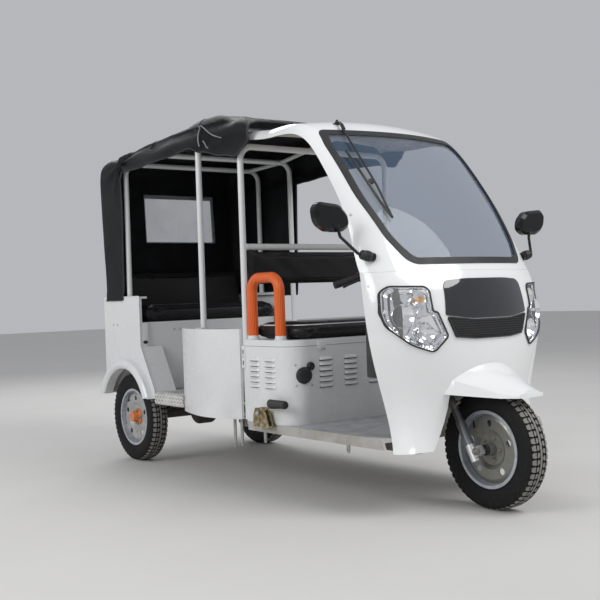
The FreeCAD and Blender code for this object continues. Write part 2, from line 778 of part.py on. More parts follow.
def half_panel():
    """Right panel: a wall bowed outward in plan, its cap under the door post and its web at the floor."""
    front = size("front_x")
    near = size("cabin_front_back")
    wall = size("half_panel_wall")
    inner = size("floor_half + gap")
    low = size("half_panel_low")
    top = size("half_panel_top")
    spots = (
        # back from the front axle, out from the middle plane
        (near, 512),
        (1400, 578),
        (1570, 568),
        (1720, 530),
        (1800, 504),
    )

    def side(inset):
        a, b, c, d, e = [V(front - back, -(out - inset), 0) for back, out in spots]
        shift = V(inset * 0.5, 0, 0)
        return (Part.Arc(a, b, c).toShape(), Part.Arc(c, d, e + shift).toShape())

    def region(inset, inboard, depth, base):
        outer = side(inset)
        start = outer[0].Vertexes[0].Point
        end = outer[-1].Vertexes[-1].Point
        back = V(end.x, -inboard, 0)
        fore = V(start.x, -inboard, 0)
        edges = list(outer)
        for a, b in ((end, back), (back, fore), (fore, start)):
            edges.append(Part.LineSegment(a, b).toShape())
        face = Part.Face(Part.Wire(edges))
        face.translate(V(0, 0, base))
        return face.extrude(V(0, 0, depth))

    tall = top - low
    wall_shape = region(0, inner, tall, low).cut(region(wall, inner - 20, tall + 20, low - 10))
    web = region(0, inner, 12, size("floor_top") - 12)
    cap = region(0, inner, 10, top - 10)
    post = size("post_half - post_radius") - 6
    tab = Part.makeBox(70, inner + 4 - post, 10, V(behind("door_post_back") - 35, -inner - 4, top - 10))
    foot = region(0, inner, 8, low).common(Part.makeBox(130, 200, 20, V(front - near - 128, -650, low - 5)))
    tabs = [hanging_tab(near + 88, low - 149, low + 4), hanging_tab(near + 24, low - 136, low + 4)]
    return wall_shape.multiFuse([web, cap, tab, foot] + tabs).removeSplitter()


keep(formed("HalfPanelRight", half_panel()), "half_panel_right")
keep(
    join(
        "HalfPanelLeft",
        block(
            "LeftWall",
            ("front_x - door_edge_back + gap + 160", "side_half - half_panel_wall", "half_panel_low"),
            (
                "door_edge_back - gap - 160 - cabin_front_back",
                "half_panel_wall",
                "half_panel_top - half_panel_low",
            ),
        ),
        block(
            "LeftWallRear",
            (
                "front_x - door_edge_back + gap",
                "side_half - half_panel_wall",
                "min(door_kink; half_panel_top - 40)",
            ),
            ("200", "half_panel_wall", "max(half_panel_top - door_kink; 40)"),
        ),
        block(
            "LeftCap",
            ("front_x - door_edge_back + gap", "post_half - post_radius - 2", "half_panel_top - 10"),
            ("door_edge_back - gap - cabin_front_back", "side_half - post_half + post_radius + 2", "10"),
        ),
        block(
            "LeftWeb",
            ("front_x - door_edge_back + gap + 160", "floor_half + gap", "floor_top - 12"),
            ("door_edge_back - gap - 160 - cabin_front_back", "side_half - floor_half - gap", "12"),
        ),
    ),
    "half_panel_left",
)


# Driver's seat.


def rounded_slab(inset, low, high, side_inset=None):
    """Block of the seat box's plan, its two front corners rounded."""
    front = behind("seat_box_back") - inset
    rear = behind("hoop_back") + size("post_radius") + 3
    half = size("seat_box_half") - (inset if side_inset is None else side_inset)
    corner = size("seat_box_corner") - inset
    slab = Part.makeBox(front - rear, 2 * half, high - low, V(rear, -half, low))
    ahead = [e for e in slab.Edges if e.BoundBox.XMin > front - 1]
    tall = [e for e in ahead if abs(e.BoundBox.ZLength - (high - low)) < 0.1]
    return slab.makeFillet(corner, tall)


def seat_box():
    """Sheet box with louvres in its sides and front, open below over the engine."""
    wall = size("seat_box_wall")
    low = size("drive_floor_top + gap")
    seam = size("seat_seam")
    box = rounded_slab(0, low, seam)
    hollow = rounded_slab(wall, low - 5, seam - wall)
    rear = behind("hoop_back") + size("post_radius") + 3
    inside = Part.makeBox(wall, 2 * size("seat_box_half"), seam, V(rear, -size("seat_box_half"), low - 5))
    box = box.cut(hollow.cut(inside))
    slots = []
    length = size("louvre_length")
    height = size("louvre_height")
    for level in range(6):
        z = size("louvre_low") + level * size("louvre_pitch")
        for back in (1132, 1010):
            x = size("front_x") - back
            for y in (-size("seat_box_half") - 5, size("seat_box_half") - wall - 5):
                slots.append(Part.makeBox(length, wall + 10, height, V(x, y, z)))
        for across in (-330, -175, -20):
            x = behind("seat_box_back") - wall - 5
            slots.append(Part.makeBox(wall + 10, length + 20, height, V(x, across, z)))
    return box.cut(Part.makeCompound(slots))


keep(formed("SeatBox", seat_box()), "driver_seat_box")
seam_top = size("seat_seam + gap")
lid_top = seam_top + size("seat_lid")
keep(formed("SeatLid", rounded_slab(-2, seam_top, lid_top)), "driver_seat_lid")
cushion_top = lid_top + size("gap + seat_cushion")
cushion_side = size("seat_box_half - guard_half + guard_radius") + 4
keep(
    formed("SeatCushion", rounded_slab(12, lid_top + size("gap"), cushion_top, cushion_side)),
    "driver_seat_cushion",
)
keep(
    block(
        "DriverRest",
        ("front_x - hoop_back - 20", "-post_half + post_radius + 6", "1010"),
        ("40", "2 * post_half - 2 * post_radius - 12", "midrail_height - post_radius - gap - 1010"),
    ),
    "driver_backrest",
)
keep(
    block(
        "Engine",
        ("front_x - 1150", "-210", "drive_floor_top + gap"),
        ("300", "420", "270"),
    ),
    "engine_block",
)


# Tubes of the cab and the canopy.


def driver_hoop():
    """Hoop behind the driver with its cross rail."""
    x = behind("hoop_back")
    half = size("post_half")
    foot = size("hoop_foot + gap")
    top = size("hoop_top")
    radius = size("post_radius")
    corners = ((x, -half, foot), (x, -half, top), (x, half, top), (x, half, foot))
    hoop = pipe(corners, radius, size("post_bend"))
    rail = Part.makeCylinder(radius, 2 * half, V(x, -half, size("midrail_height")), V(0, 1, 0))
    return hoop.fuse(rail).removeSplitter()


def canopy_frame():
    """Rear bow on both sides, middle bow with a left post only, right door post, rails and front bow."""
    half = size("post_half")
    radius = size("post_radius")
    bend = size("post_bend")
    rear = behind("rear_bow_back")
    middle = behind("mid_bow_back")
    front = behind("front_bow_back")
    door = behind("door_post_back")
    waist = size("waist + gap")
    sill = size("half_panel_top + gap")
    rear_top = size("rear_bow_top")
    mid_top = size("mid_bow_top")
    front_top = size("front_bow_top")
    pieces = [
        pipe(
            ((rear, -half, waist), (rear, -half, rear_top), (rear, half, rear_top), (rear, half, waist)),
            radius,
            bend,
        ),
        pipe(((middle, -half, mid_top), (middle, half, mid_top), (middle, half, sill)), radius, bend),
        Part.makeCylinder(radius, 2 * half, V(front, -half, front_top), V(0, 1, 0)),
    ]
    for side in (-half, half):
        rail_side = side * 0.86
        for start, end in (
            ((rear, rail_side, rear_top), (middle, rail_side, mid_top)),
            ((middle, rail_side, mid_top), (front, rail_side, front_top)),
        ):
            a = V(*start)
            b = V(*end)
            pieces.append(Part.makeCylinder(radius - 3, (b - a).Length, a, b - a))
    slope = (front_top - mid_top) / (front - middle)
    door_top = mid_top + slope * (door - middle)
    pieces.append(Part.makeCylinder(radius, door_top - sill, V(door, -half, sill), V(0, 0, 1)))
    pieces.append(Part.makeCylinder(radius - 3, half * 0.14, V(door, -half, door_top - 14), V(0, 1, 0)))
    return pieces[0].multiFuse(pieces[1:]).removeSplitter()


keep(formed("DriverHoop", driver_hoop()), "driver_hoop")
keep(formed("CanopyFrame", canopy_frame()), "canopy_frame")


def guard(side):
    """Guard beside the driver's seat: a bent tube whose two legs stand on the lid."""
    y = side * size("guard_half")
    low = lid_top + size("gap")
    top = size("guard_top - guard_radius")
    rear = behind("guard_rear_back")
    fore = behind("guard_front_back")
    spots = ((rear, y, low), (rear, y, top), (fore, y, top), (fore, y, low))
    return pipe(spots, size("guard_radius"), size("guard_bend"))


keep(formed("GuardRight", guard(-1)), "seat_guard_right")
keep(formed("GuardLeft", guard(1)), "seat_guard_left")


# Canopy: roof, rear curtain and quarter curtains as one closed sheet form.


def canopy():
    """Shell of the canopy's side outline, open below, in front and along its sides."""
    wall = size("canopy_wall")
    half = size("canopy_half")
    rear = behind("canopy_rear_back")
    waist = size("waist + gap")

    def form(inset, low):
        foot = size("front_x") - size("tail_back") - 8 + inset
        spots = [
            V(foot, 0, low),
            V(rear + inset, 0, size("canopy_rear_top") - 130),
            V(rear + 50 + inset * 0.4, 0, size("canopy_rear_top") - inset),
            V(behind("front_bow_back"), 0, size("canopy_top") - inset),
            V(behind("canopy_front_back") + (20 if inset else 0), 0, size("canopy_front_top") - inset),
            V(behind("canopy_front_back") + (20 if inset else 0), 0, low),
        ]
        face = Part.Face(Part.makePolygon(spots + [spots[0]]))
        face.translate(V(0, -half + inset, 0))
        return face.extrude(V(0, 2 * (half - inset), 0))

    def opening(start, y):
        low = size("valance_low")
        spots = [V(behind(start), y, waist - 30), V(behind(start), y, low - 10)]
        for back, lift in VALANCE:
            if back < size(start):
                spots.append(V(size("front_x") - back, y, low + lift))
        spots.append(V(behind("canopy_front_back") + 60, y, spots[-1].z))
        spots.append(V(spots[-1].x, y, waist - 30))
        face = Part.Face(Part.makePolygon(spots + [spots[0]]))
        return face.extrude(V(0, 60, 0))

    pane = rear_pane(0)
    shell = form(0, waist).cut(form(wall, waist - 20)).cut(pane)
    return shell.cut(opening("rear_bow_back", -half - 30)).cut(opening("mid_bow_back", half - 30))


def rear_pane(inset):
    """Rounded block through the rear curtain where its clear window sits."""
    low = size("rear_window_low") + inset
    high = size("rear_window_high") - inset
    half = size("rear_window_half") - inset
    start = V(behind("canopy_rear_back") - 40, size("rear_window_shift") - half, low)
    pane = Part.makeBox(120, 2 * half, high - low, start)
    return pane.makeFillet(30, [e for e in pane.Edges if e.BoundBox.XLength > 100])


VALANCE = (
    # behind the front axle, lift of the edge over its usual height
    (2200, 6),
    (1949, 30),
    (1617, 28),
    (1400, -6),
    (1195, -44),
    (1080, -52),
)

canopy_shape = canopy()
keep(formed("Canopy", canopy_shape), "canopy")


def rear_window():
    """Clear sheet inside the rear curtain's opening, following the curtain's slope."""
    lower = V(behind("tail_back") - 8 + 2, -500, size("waist + gap"))
    upper = V(behind("canopy_rear_back") + 2, -500, size("canopy_rear_top") - 130)
    depth = V(2.5, 0, 0)
    side = Part.Face(Part.makePolygon([lower, upper, upper + depth, lower + depth, lower]))
    return side.extrude(V(0, 1000, 0)).common(rear_pane(size("gap")))


keep(formed("RearWindow", rear_window()), "rear_window")


# Cab: fibreglass lower fairing and upper hood, lofted from plan and arch sections.

FAIRING_SECTIONS = (
    # height, centre ahead, corner ahead, corner out, edge ahead, edge out (of the front axle)
    (276, -62, -84, 392, -139, 463),
    (545, -20, -112, 372, -196, 474),
    (700, 12, -92, 404, -206, 508),
    (860, 15, -86, 419, -226, 520),
    (1044, -36, -138, 412, -256, 516),
)

HOOD_SECTIONS = (
    # foot ahead, foot height, foot out, crown ahead, crown height, corner out, corner share of the rise
    (-256, 1044.6, 516, -36, 1044.6, 412, 0.536),
    (-330, 1215, 500, -140, 1226, 406, 0.5),
    (-415, 1372, 484, -262, 1400, 402, 0.48),
    (-530, 1535, 480, -420, 1588, 400, 0.48),
    (-648, 1668, 480, -600, 1742, 400, 0.52),
    (-760, 1716, 480, -748, 1796, 430, 0.6),
    (-910, 1724, 480, -906, 1802, 434, 0.64),
    (-1060, 1733, 480, -1060, 1804, 436, 0.66),
    (-1214, 1742, 480, -1214, 1806, 436, 0.66),
)


def thick_arch(foot, corner, crown, side_sag, inset, wall):
    """Closed wire of an arch in its own plane: points are (across, rise); inset and wall go inward."""

    def half_points(depth):
        return (
            (foot[0] - depth, foot[1]),
            (corner[0] - 0.6 * depth, corner[1] - 0.8 * depth),
            (crown[0], crown[1] - depth),
        )

    def sag_point(a, b):
        dx = b[0] - a[0]
        dy = b[1] - a[1]
        return ((a[0] + b[0]) / 2 + dy * side_sag, (a[1] + b[1]) / 2 - dx * side_sag)

    rims = []
    for depth in (inset, inset + wall):
        f, c, top = half_points(depth)
        s = sag_point(f, c)
        rims.append((f, s, c, top))
    return rims


def arch_wire(rims, lift):
    """Outer run left to right, then the inner run back, as lines and arcs."""
    outer, inner = rims

    def run(rim, sign):
        f, s, c, top = rim
        return (
            Part.Arc(lift(sign * f[0], f[1]), lift(sign * s[0], s[1]), lift(sign * c[0], c[1])).toShape(),
            Part.Arc(lift(sign * c[0], c[1]), lift(0, top[1]), lift(-sign * c[0], c[1])).toShape(),
            Part.Arc(lift(-sign * c[0], c[1]), lift(-sign * s[0], s[1]), lift(-sign * f[0], f[1])).toShape(),
        )

    go = run(outer, 1)
    come = run(inner, -1)
    foot_a = Part.LineSegment(lift(-outer[0][0], outer[0][1]), lift(-inner[0][0], inner[0][1])).toShape()
    foot_b = Part.LineSegment(lift(inner[0][0], inner[0][1]), lift(outer[0][0], outer[0][1])).toShape()
    return Part.Wire(list(go) + [foot_a] + list(come) + [foot_b])


def fairing_band(inset, wall):
    """Lofted shell between two insets of the fairing's plan sections."""
    wires = []
    for z, centre, corner, corner_out, edge, edge_out in FAIRING_SECTIONS:
        rims = thick_arch((edge_out, edge), (corner_out, corner), (0, centre), 0.11, inset, wall)
        wires.append(arch_wire(rims, lambda a, r, z=z: V(size("front_x") + r, a, z)))
    return Part.makeLoft(wires, True, False)


def hood_band(inset, wall):
    """Lofted shell between two insets of the hood's arch sections."""
    wires = []
    for foot_x, foot_z, foot_out, crown_x, crown_z, corner_out, share in HOOD_SECTIONS:
        base = V(size("front_x") + foot_x, 0, foot_z)
        rise = V(crown_x - foot_x, 0, crown_z - foot_z)
        height = rise.Length
        up = rise.normalize()
        rims = thick_arch((foot_out, 0), (corner_out, share * height), (0, height), 0.09, inset, wall)
        wires.append(arch_wire(rims, lambda a, r, base=base, up=up: base + up * r + V(0, a, 0)))
    return Part.makeLoft(wires, True, False)


def rounded_loop(points):
    """Closed wire in YZ through points of (across, up, corner radius), each corner an arc."""
    spots = [V(0, y, z) for y, z, radius in points]
    count = len(spots)
    corners = []
    for i, (y, z, radius) in enumerate(points):
        corner = spots[i]
        into = (corner - spots[i - 1]).normalize()
        out = (spots[(i + 1) % count] - corner).normalize()
        turn = into.getAngle(out)
        reach = radius * math.tan(turn / 2)
        middle = corner + (out - into).normalize() * (radius / math.cos(turn / 2) - radius)
        corners.append((corner - into * reach, middle, corner + out * reach))
    edges = []
    for i, (start, middle, end) in enumerate(corners):
        edges.append(Part.LineSegment(corners[i - 1][2], start).toShape())
        edges.append(Part.Arc(start, middle, end).toShape())
    return Part.Wire(edges)


def prism(points, start, length):
    """Prism along X from a rounded outline of (across, up, corner radius)."""
    face = Part.Face(rounded_loop(points))
    face.translate(V(size("front_x") + start, 0, 0))
    return face.extrude(V(length, 0, 0))


def mirrored(points):
    """Right half of an outline, from the bottom up, completed by its left half."""
    return tuple((-y, z, radius) for y, z, radius in points) + tuple(reversed(points))


def glass_prism(inset):
    """Windshield opening's outline, looking along X, as a long prism."""
    half = (
        (346 - inset, 1074 + inset, 70 - inset),
        (401 - inset, 1190, 260),
        (438 - inset, 1385, 500),
        (438 - inset, 1640, 140),
        (418 - inset, 1724 - inset, 44 - inset * 0.6),
    )
    return prism(mirrored(half), -760, 900)


BEAK_SECTIONS = (
    # ahead of the axle, lower edge out, lower edge height, crease out, crease height, crown height
    (-80, 244, 515, 219, 586, 700),
    (-30, 215, 511, 199, 570, 655),
    (60, 164, 504, 152, 544, 604),
    (150, 112, 498, 104, 514, 560),
    (220, 72, 499, 69, 507, 530),
)


def beak_form(inset):
    """Fender's outer or inner form, lofted from crowned sections across the vehicle."""
    wires = []
    for ahead, low_out, low, crease_out, crease, crown in BEAK_SECTIONS:
        x = size("front_x") + ahead - inset
        base = low - 30 if inset else low
        a = V(x, -low_out + inset, base)
        b = V(x, -crease_out + inset, crease - inset)
        top = V(x, 0, crown - inset)
        c = V(x, crease_out - inset, crease - inset)
        d = V(x, low_out - inset, base)
        sides = [Part.LineSegment(p, q).toShape() for p, q in ((a, b), (c, d), (d, a))]
        wires.append(Part.Wire([sides[0], Part.Arc(b, top, c).toShape(), sides[1], sides[2]]))
    return Part.makeLoft(wires, True, True)


def beak_tip():
    """Rounded front lip that closes the fender's last section."""
    front = size("front_x")
    ahead, low_out, low, crease_out, crease, crown = BEAK_SECTIONS[-1]
    tip = size("beak_reach")
    a = V(front + ahead, -low_out, low)
    b = V(front + tip, 0, low)
    c = V(front + ahead, low_out, low)
    plan = Part.Face(Part.Wire([Part.Arc(a, b, c).toShape(), Part.LineSegment(c, a).toShape()]))
    return plan.extrude(V(0, 0, crown - low - 14))


WHEEL_OPENING = (
    # out from the middle plane, height
    (306, 255),
    (268, 303),
    (243, 342),
    (220, 394),
    (208, 445),
    (204, 520),
    (186, 556),
)


def wheel_opening():
    """Prism that opens the fairing's front for the wheel and the fender's hollow."""
    right = [V(size("front_x") - 160, -out, z) for out, z in WHEEL_OPENING]
    left = [V(p.x, -p.y, p.z) for p in reversed(right)]
    face = Part.Face(Part.makePolygon(right + left + right[:1]))
    return face.extrude(V(260, 0, 0))


skin = size("skin")
gap = size("gap")

LAMP_OUTLINE = (
    # out from the middle plane, height, corner radius
    (241, 762, 16),
    (300, 697, 26),
    (400, 732, 120),
    (484, 806, 60),
    (499, 870, 60),
    (490, 984, 44),
    (307, 978, 30),
    (306, 872, 12),
    (286, 868, 10),
)
GRILLE_LOW = ((206, 757, 14), (110, 747, 300))
GRILLE_HIGH = ((247, 848, 8), (120, 832, 400))
NOSE_LOW = ((250, 853, 8), (120, 836, 400))
NOSE_HIGH = ((236, 1000, 36), (120, 1008, 900))


def lamp_prism(side, inset):
    """Headlamp's outline, looking along X."""
    count = len(LAMP_OUTLINE)
    middle = V(0, sum(p[0] for p in LAMP_OUTLINE) / count, sum(p[1] for p in LAMP_OUTLINE) / count)
    points = []
    for y, z, radius in LAMP_OUTLINE:
        out = V(0, y, z) - middle
        spot = middle + out * (1 - inset / out.Length)
        points.append((side * spot.y, spot.z, radius))
    return prism(points, -260, 320)


def worn(low, high, lift):
    """Trim plate that lies on the fairing, between a lower and an upper edge given looking along X."""
    right = [(-y, z, radius) for y, z, radius in low]
    points = right + [(y, z, radius) for y, z, radius in reversed(low)]
    points += [(y, z, radius) for y, z, radius in high]
    points += [(-y, z, radius) for y, z, radius in reversed(high)]
    return fairing_band(-lift, lift - gap).common(prism(points, -140, 220))


lamps = {side: lamp_prism(side, 0) for side in (-1, 1)}
fairing_shell = fairing_band(0, skin).cut(wheel_opening()).cut(lamps[-1]).cut(lamps[1])
beak = beak_form(0).fuse(beak_tip()).cut(beak_form(size("beak_wall")))
fender = beak.cut(fairing_band(-gap, 300))
keep(formed("Fairing", fairing_shell.removeSplitter()), "cab_fairing")
keep(formed("Fender", fender.removeSplitter()), "front_fender")
window = hood_band(-30, skin + 60).common(glass_prism(0))
keep(formed("Hood", hood_band(0, skin).cut(window).removeSplitter()), "cab_hood")
for side, node in ((-1, "headlight_right"), (1, "headlight_left")):
    lamp = fairing_band(-5, skin + 5).common(lamp_prism(side, gap + 0.3))
    keep(formed(node.title().replace("_", ""), lamp), node)
keep(formed("Grille", worn(GRILLE_LOW, GRILLE_HIGH, 7)), "grille")
keep(formed("NosePanel", worn(NOSE_LOW, NOSE_HIGH, 4)), "nose_panel")

rubber = size("seal_width")
seal = hood_band(-4, skin + 6).common(glass_prism(gap)).cut(glass_prism(rubber))
keep(formed("Seal", seal), "windshield_seal")
keep(formed("Glass", hood_band(3, 5).common(glass_prism(rubber + gap))), "windshield_glass")


outside = fairing_band(-400, 400 + skin + gap)

drive_floor = join(
    "DriveFloorJoined",
    block(
        "DriveFloorPlate",
        ("front_x - cabin_front_back", "-drive_floor_half", "drive_floor_top - drive_floor_depth"),
        ("cabin_front_back - drive_floor_back", "2 * drive_floor_half", "drive_floor_depth"),
    ),
    block(
        "DriveLipRight",
        ("front_x - hoop_back + 25", "-drive_floor_half", "lip_low"),
        ("hoop_back - 25 - drive_floor_back", "lip_width", "drive_floor_top - lip_low"),
    ),
    block(
        "DriveLipLeft",
        ("front_x - seat_box_back - 60", "drive_floor_half - lip_width", "lip_low"),
        ("seat_box_back + 60 - drive_floor_back", "lip_width", "drive_floor_top - lip_low"),
    ),
    formed("FloorTabRear", hanging_tab(1030, size("lip_low") - 53, size("lip_low") + 4)),
    formed("FloorTabFront", hanging_tab(392, size("lip_low") - 35, size("lip_low") + 4)),
)
keep(
    cut(
        "DriveFloor",
        drive_floor,
        block(
            "DriveFloorNotch",
            ("front_x - well_back - gap", "-well_half - gap", "lip_low - 50"),
            ("well_back + 100", "2 * well_half + 2 * gap", "200"),
        ),
        block(
            "DriveFloorHoopNotch",
            ("front_x - hoop_back - 19", "-post_half - 40", "lip_low - 50"),
            ("38", "2 * post_half + 80", "200"),
        ),
        block(
            "DriveFloorTail",
            ("front_x - cabin_front_back - 5", "-drive_floor_half - 5", "lip_low - 50"),
            ("cabin_front_back + 5 - hoop_back", "2 * drive_floor_half + 10", "200"),
        ),
        formed("HeadStrutRoom", head_struts(5)),
        formed("FairingOutside", outside),
    ),
    "driver_floor",
)


def wheel_arch():
    """Sheet arch over the front wheel, open in front and below, holed for the head tube."""
    back = size("well_back")
    half = size("well_half")
    low = size("well_low")
    wall = size("well_wall")
    end = 100
    front = size("front_x")
    outer = Part.makeBox(back - end, 2 * half, size("well_top") - low, V(front - back, -half, low))
    hollow = Part.makeBox(
        back, 2 * (half - wall), size("well_top") - low, V(front - back + wall, -half + wall, low - wall)
    )
    return outer.cut(hollow).cut(head_room(4)).cut(head_struts(gap))


def dashboard():
    """Hollow dashboard between the fairing's sides, standing on the wheel arch."""
    front = size("front_x")
    low = size("well_top") + gap
    top = min(size("dash_top"), FAIRING_SECTIONS[-1][0] - 4)
    half = size("dash_half")
    back = size("dash_back")
    outer = Part.makeBox(back, 2 * half, top - low, V(front - back, -half, low))
    hollow = Part.makeBox(back, 2 * half - 20, top - low, V(front - back + 10, -half + 10, low - 10))
    return outer.cut(hollow).cut(outside).cut(head_room(4)).cut(head_struts(gap))


keep(formed("WheelArch", wheel_arch()), "front_wheel_arch")
keep(formed("Dashboard", dashboard()), "dashboard")


MIRROR_OUTLINE = (
    # out from the head's middle, up from it, corner radius
    (-93, -36, 30),
    (-52, -62, 60),
    (30, -60, 60),
    (84, -30, 60),
    (95, 34, 34),
    (70, 64, 30),
    (-40, 54, 60),
    (-86, 12, 60),
)


def mirror(side):
    """Mirror head of an egg-shaped outline on a bent arm that stands on the windshield pillar."""
    front = size("front_x")
    outer = [(side * (633 + y), 1282 + z, radius) for y, z, radius in MIRROR_OUTLINE]
    head = prism(outer, -289 - 26, 44)
    rim = [e for e in head.Edges if e.BoundBox.XMin > front - 289 + 17]
    head = head.makeChamfer(14, rim)
    spots = (
        (front - 214, side * 470, 1108),
        (front - 222, side * 548, 1124),
        (front - 276, side * 600, 1200),
        (front - 284, side * 612, 1262),
    )
    arm = pipe(spots, 7, 16)
    base = Part.makeCylinder(19, 62, V(*spots[0]), V(*spots[1]) - V(*spots[0]))
    return head.multiFuse([arm, base]).cut(hood_band(-0.8, 200))


for side, node in ((-1, "mirror_right"), (1, "mirror_left")):
    keep(formed(node.title().replace("_", ""), mirror(side)), node)


# Running gear behind.


def rear_axle():
    """Axle tube with a gear case, two brake plates and the wheel spindles."""
    x = size("front_x - wheelbase")
    z = size("tyre_radius")
    inner = size("rear_track / 2 - tyre_width / 2") - 1
    tip = size("rear_track / 2 + disc_offset + hub_depth") - 13
    tube = Part.makeCylinder(30, 2 * inner, V(x, -inner, z), V(0, 1, 0))
    spindle = Part.makeCylinder(size("rear_spindle_radius"), 2 * tip, V(x, -tip, z), V(0, 1, 0))
    case = Part.makeCylinder(88, 120, V(x, -60, z), V(0, 1, 0))
    pieces = [spindle, case.makeFillet(24, case.Edges[:1] + case.Edges[2:3])]
    for side in (-1, 1):
        end = size("rear_track / 2 - hub_depth / 2") - 2
        plate_start = V(x, side * (end - 20), z)
        pieces.append(Part.makeCylinder(96, 20, plate_start, V(0, side, 0)))
        pieces.append(Part.makeCylinder(30, end - inner, V(x, side * (inner - 1), z), V(0, side, 0)))
    return tube.multiFuse(pieces).removeSplitter()


def leaf_springs():
    """Leaf pack under each rail, its eyes on the rail and its middle on the axle."""
    x = size("front_x - wheelbase")
    axle_top = size("tyre_radius") + 30 + gap
    rail_low = size("floor_top - floor_depth - rail_height") - gap
    pieces = []
    for side in (-1, 1):
        y = side * size("rail_half") - 25
        for level, reach in enumerate((262, 190, 120)):
            z = axle_top + 16 - 8 * level
            rise = (rail_low - 12 - axle_top - 16) * (reach / 262.0) ** 2
            rims = []
            for lift in (0, 7.6):
                a = V(x - reach, y, z + rise + lift)
                b = V(x, y, z + lift)
                c = V(x + reach, y, z + rise + lift)
                rims.append((a, b, c))
            low_rim, high_rim = rims
            loop = Part.Wire(
                [
                    Part.Arc(*low_rim).toShape(),
                    Part.LineSegment(low_rim[2], high_rim[2]).toShape(),
                    Part.Arc(*reversed(high_rim)).toShape(),
                    Part.LineSegment(high_rim[0], low_rim[0]).toShape(),
                ]
            )
            pieces.append(Part.Face(loop).extrude(V(0, 50, 0)))
        for end in (-262, 262):
            pieces.append(Part.makeCylinder(12, 50, V(x + end, y, rail_low - 12), V(0, 1, 0)))
        pieces.append(Part.makeBox(60, 50, 26, V(x - 30, y, axle_top)))
    return pieces[0].multiFuse(pieces[1:]).removeSplitter()


keep(formed("RearAxle", rear_axle()), "rear_axle")
keep(formed("LeafSprings", leaf_springs()), "leaf_springs")


# Small parts.

for side, y in (("right", "-side_half + lamp_inset"), ("left", "side_half - lamp_inset - lamp_width")):
    keep(
        block(
            "TailLamp" + side.title(),
            ("front_x - tail_back - gap - lamp_depth", y, "waist - lamp_drop"),
            ("lamp_depth", "lamp_width", "lamp_height"),
        ),
        "tail_lamp_" + side,
    )


def filler():
    """Filler cap on the seat box's front corner, and the lock beside it."""
    reach = size("seat_box_corner")
    corner = V(behind("seat_box_back") - reach, reach - size("seat_box_half"), 577)
    cap = Part.makeCylinder(37, reach + 13, corner, V(0.97, -0.24, 0))
    lock = Part.makeCylinder(19, 20, V(behind("seat_box_back") - 10, -365, 617), V(1, 0, 0))
    return cap.fuse(lock).cut(rounded_slab(-gap, 400, 700))


keep(formed("FillerCap", filler()), "filler_cap")


def hand_lever():
    """Folded bracket under the floor's right edge, a lever on its pivot and a level grip."""
    y = -size("drive_floor_half") - gap
    x = size("front_x") - 1050
    shelf = Part.makeBox(128, 50, 8, V(x, y - 50, 330))
    cheeks = []
    for out in (50, 24):
        spots = [V(x, y - out, 334), V(x + 128, y - out, 334), V(x + 104, y - out, 400)]
        spots += [V(x + 66, y - out, 424), V(x + 20, y - out, 420), V(x, y - out, 380)]
        cheeks.append(Part.Face(Part.makePolygon(spots + spots[:1])).extrude(V(0, 6, 0)))
    middle = y - 34
    pivot = Part.makeCylinder(9, 62, V(x + 58, y - 62, 396), V(0, 1, 0))
    low = V(x + 58, middle, 396)
    knee = V(x + 128, middle, 436)
    lever = pipe((low, knee, knee + V(120, 0, 10)), 7, 12)
    grip = Part.makeCylinder(16, 118, knee + V(8, 0, 0.7), V(120, 0, 10))
    return shelf.multiFuse(cheeks + [pivot, lever, grip]).removeSplitter()


keep(formed("HandLever", hand_lever()), "hand_lever")


WIPER_ARM = (
    # ahead of the front axle, across, up
    (-688, -266, 1742),
    (-664, -268, 1780),
    (-604, -296, 1738),
    (-538, -320, 1676),
    (-450, -332, 1580),
    (-333, -336, 1436),
    (-228, -343, 1282),
)
WIPER_BLADE = (
    (-488, -376, 1606),
    (-390, -371, 1490),
    (-290, -355, 1355),
    (-228, -343, 1282),
)


def wiper():
    """Wiper arm from its pivot above the windshield, with its blade on the glass."""
    front = size("front_x")
    arm = pipe([V(front + x, y, z) for x, y, z in WIPER_ARM], 5, 30)
    blade = pipe([V(front + x, y, z) for x, y, z in WIPER_BLADE], 6, 30)
    return arm.fuse(blade)


keep(formed("Wiper", wiper().cut(hood_band(-gap, 60))), "wiper")


doc.recompute()
failed = [o.Label for o in doc.Objects if "Invalid" in o.State or "Error" in o.State]
assert not failed, f"not built: {failed}"
for node, thing in MADE.items():
    shape = thing.Shape
    assert not shape.isNull() and shape.isValid(), f"{node} has no valid shape"
    assert shape.Volume > 0, f"{node} has no volume"
    shape.exportStep(f"parts/{node}.step")
    print(f"{node:24s} {len(shape.Solids)} solids {shape.Volume / 1e6:9.3f} litres")
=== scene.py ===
import bpy
import bmesh
import math
from mathutils import Matrix, Vector, noise
from mathutils.bvhtree import BVHTree


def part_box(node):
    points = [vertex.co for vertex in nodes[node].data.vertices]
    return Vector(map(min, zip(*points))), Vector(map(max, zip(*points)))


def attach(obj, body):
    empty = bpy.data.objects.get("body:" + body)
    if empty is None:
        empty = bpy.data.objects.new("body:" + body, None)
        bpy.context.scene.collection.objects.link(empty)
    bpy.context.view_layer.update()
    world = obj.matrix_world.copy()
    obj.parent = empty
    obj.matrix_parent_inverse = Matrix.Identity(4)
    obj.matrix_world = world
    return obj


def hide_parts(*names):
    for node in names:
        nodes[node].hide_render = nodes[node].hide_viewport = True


# Camera: a 59 mm lens at chest height off the vehicle's right front corner,
# where the photograph was taken from. AHEAD is the front axle, as in the model.
AHEAD = 1.2595
YAW, PITCH, ROLL = 2.502, -0.003, -0.034
forward = Vector((math.cos(YAW) * math.cos(PITCH), math.sin(YAW) * math.cos(PITCH), math.sin(PITCH)))
right = forward.cross(Vector((0, 0, 1))).normalized()
upward = right.cross(forward)
tilted_right = math.cos(ROLL) * right + math.sin(ROLL) * upward
tilted_up = math.cos(ROLL) * upward - math.sin(ROLL) * right
camera_data = bpy.data.cameras.new("camera")
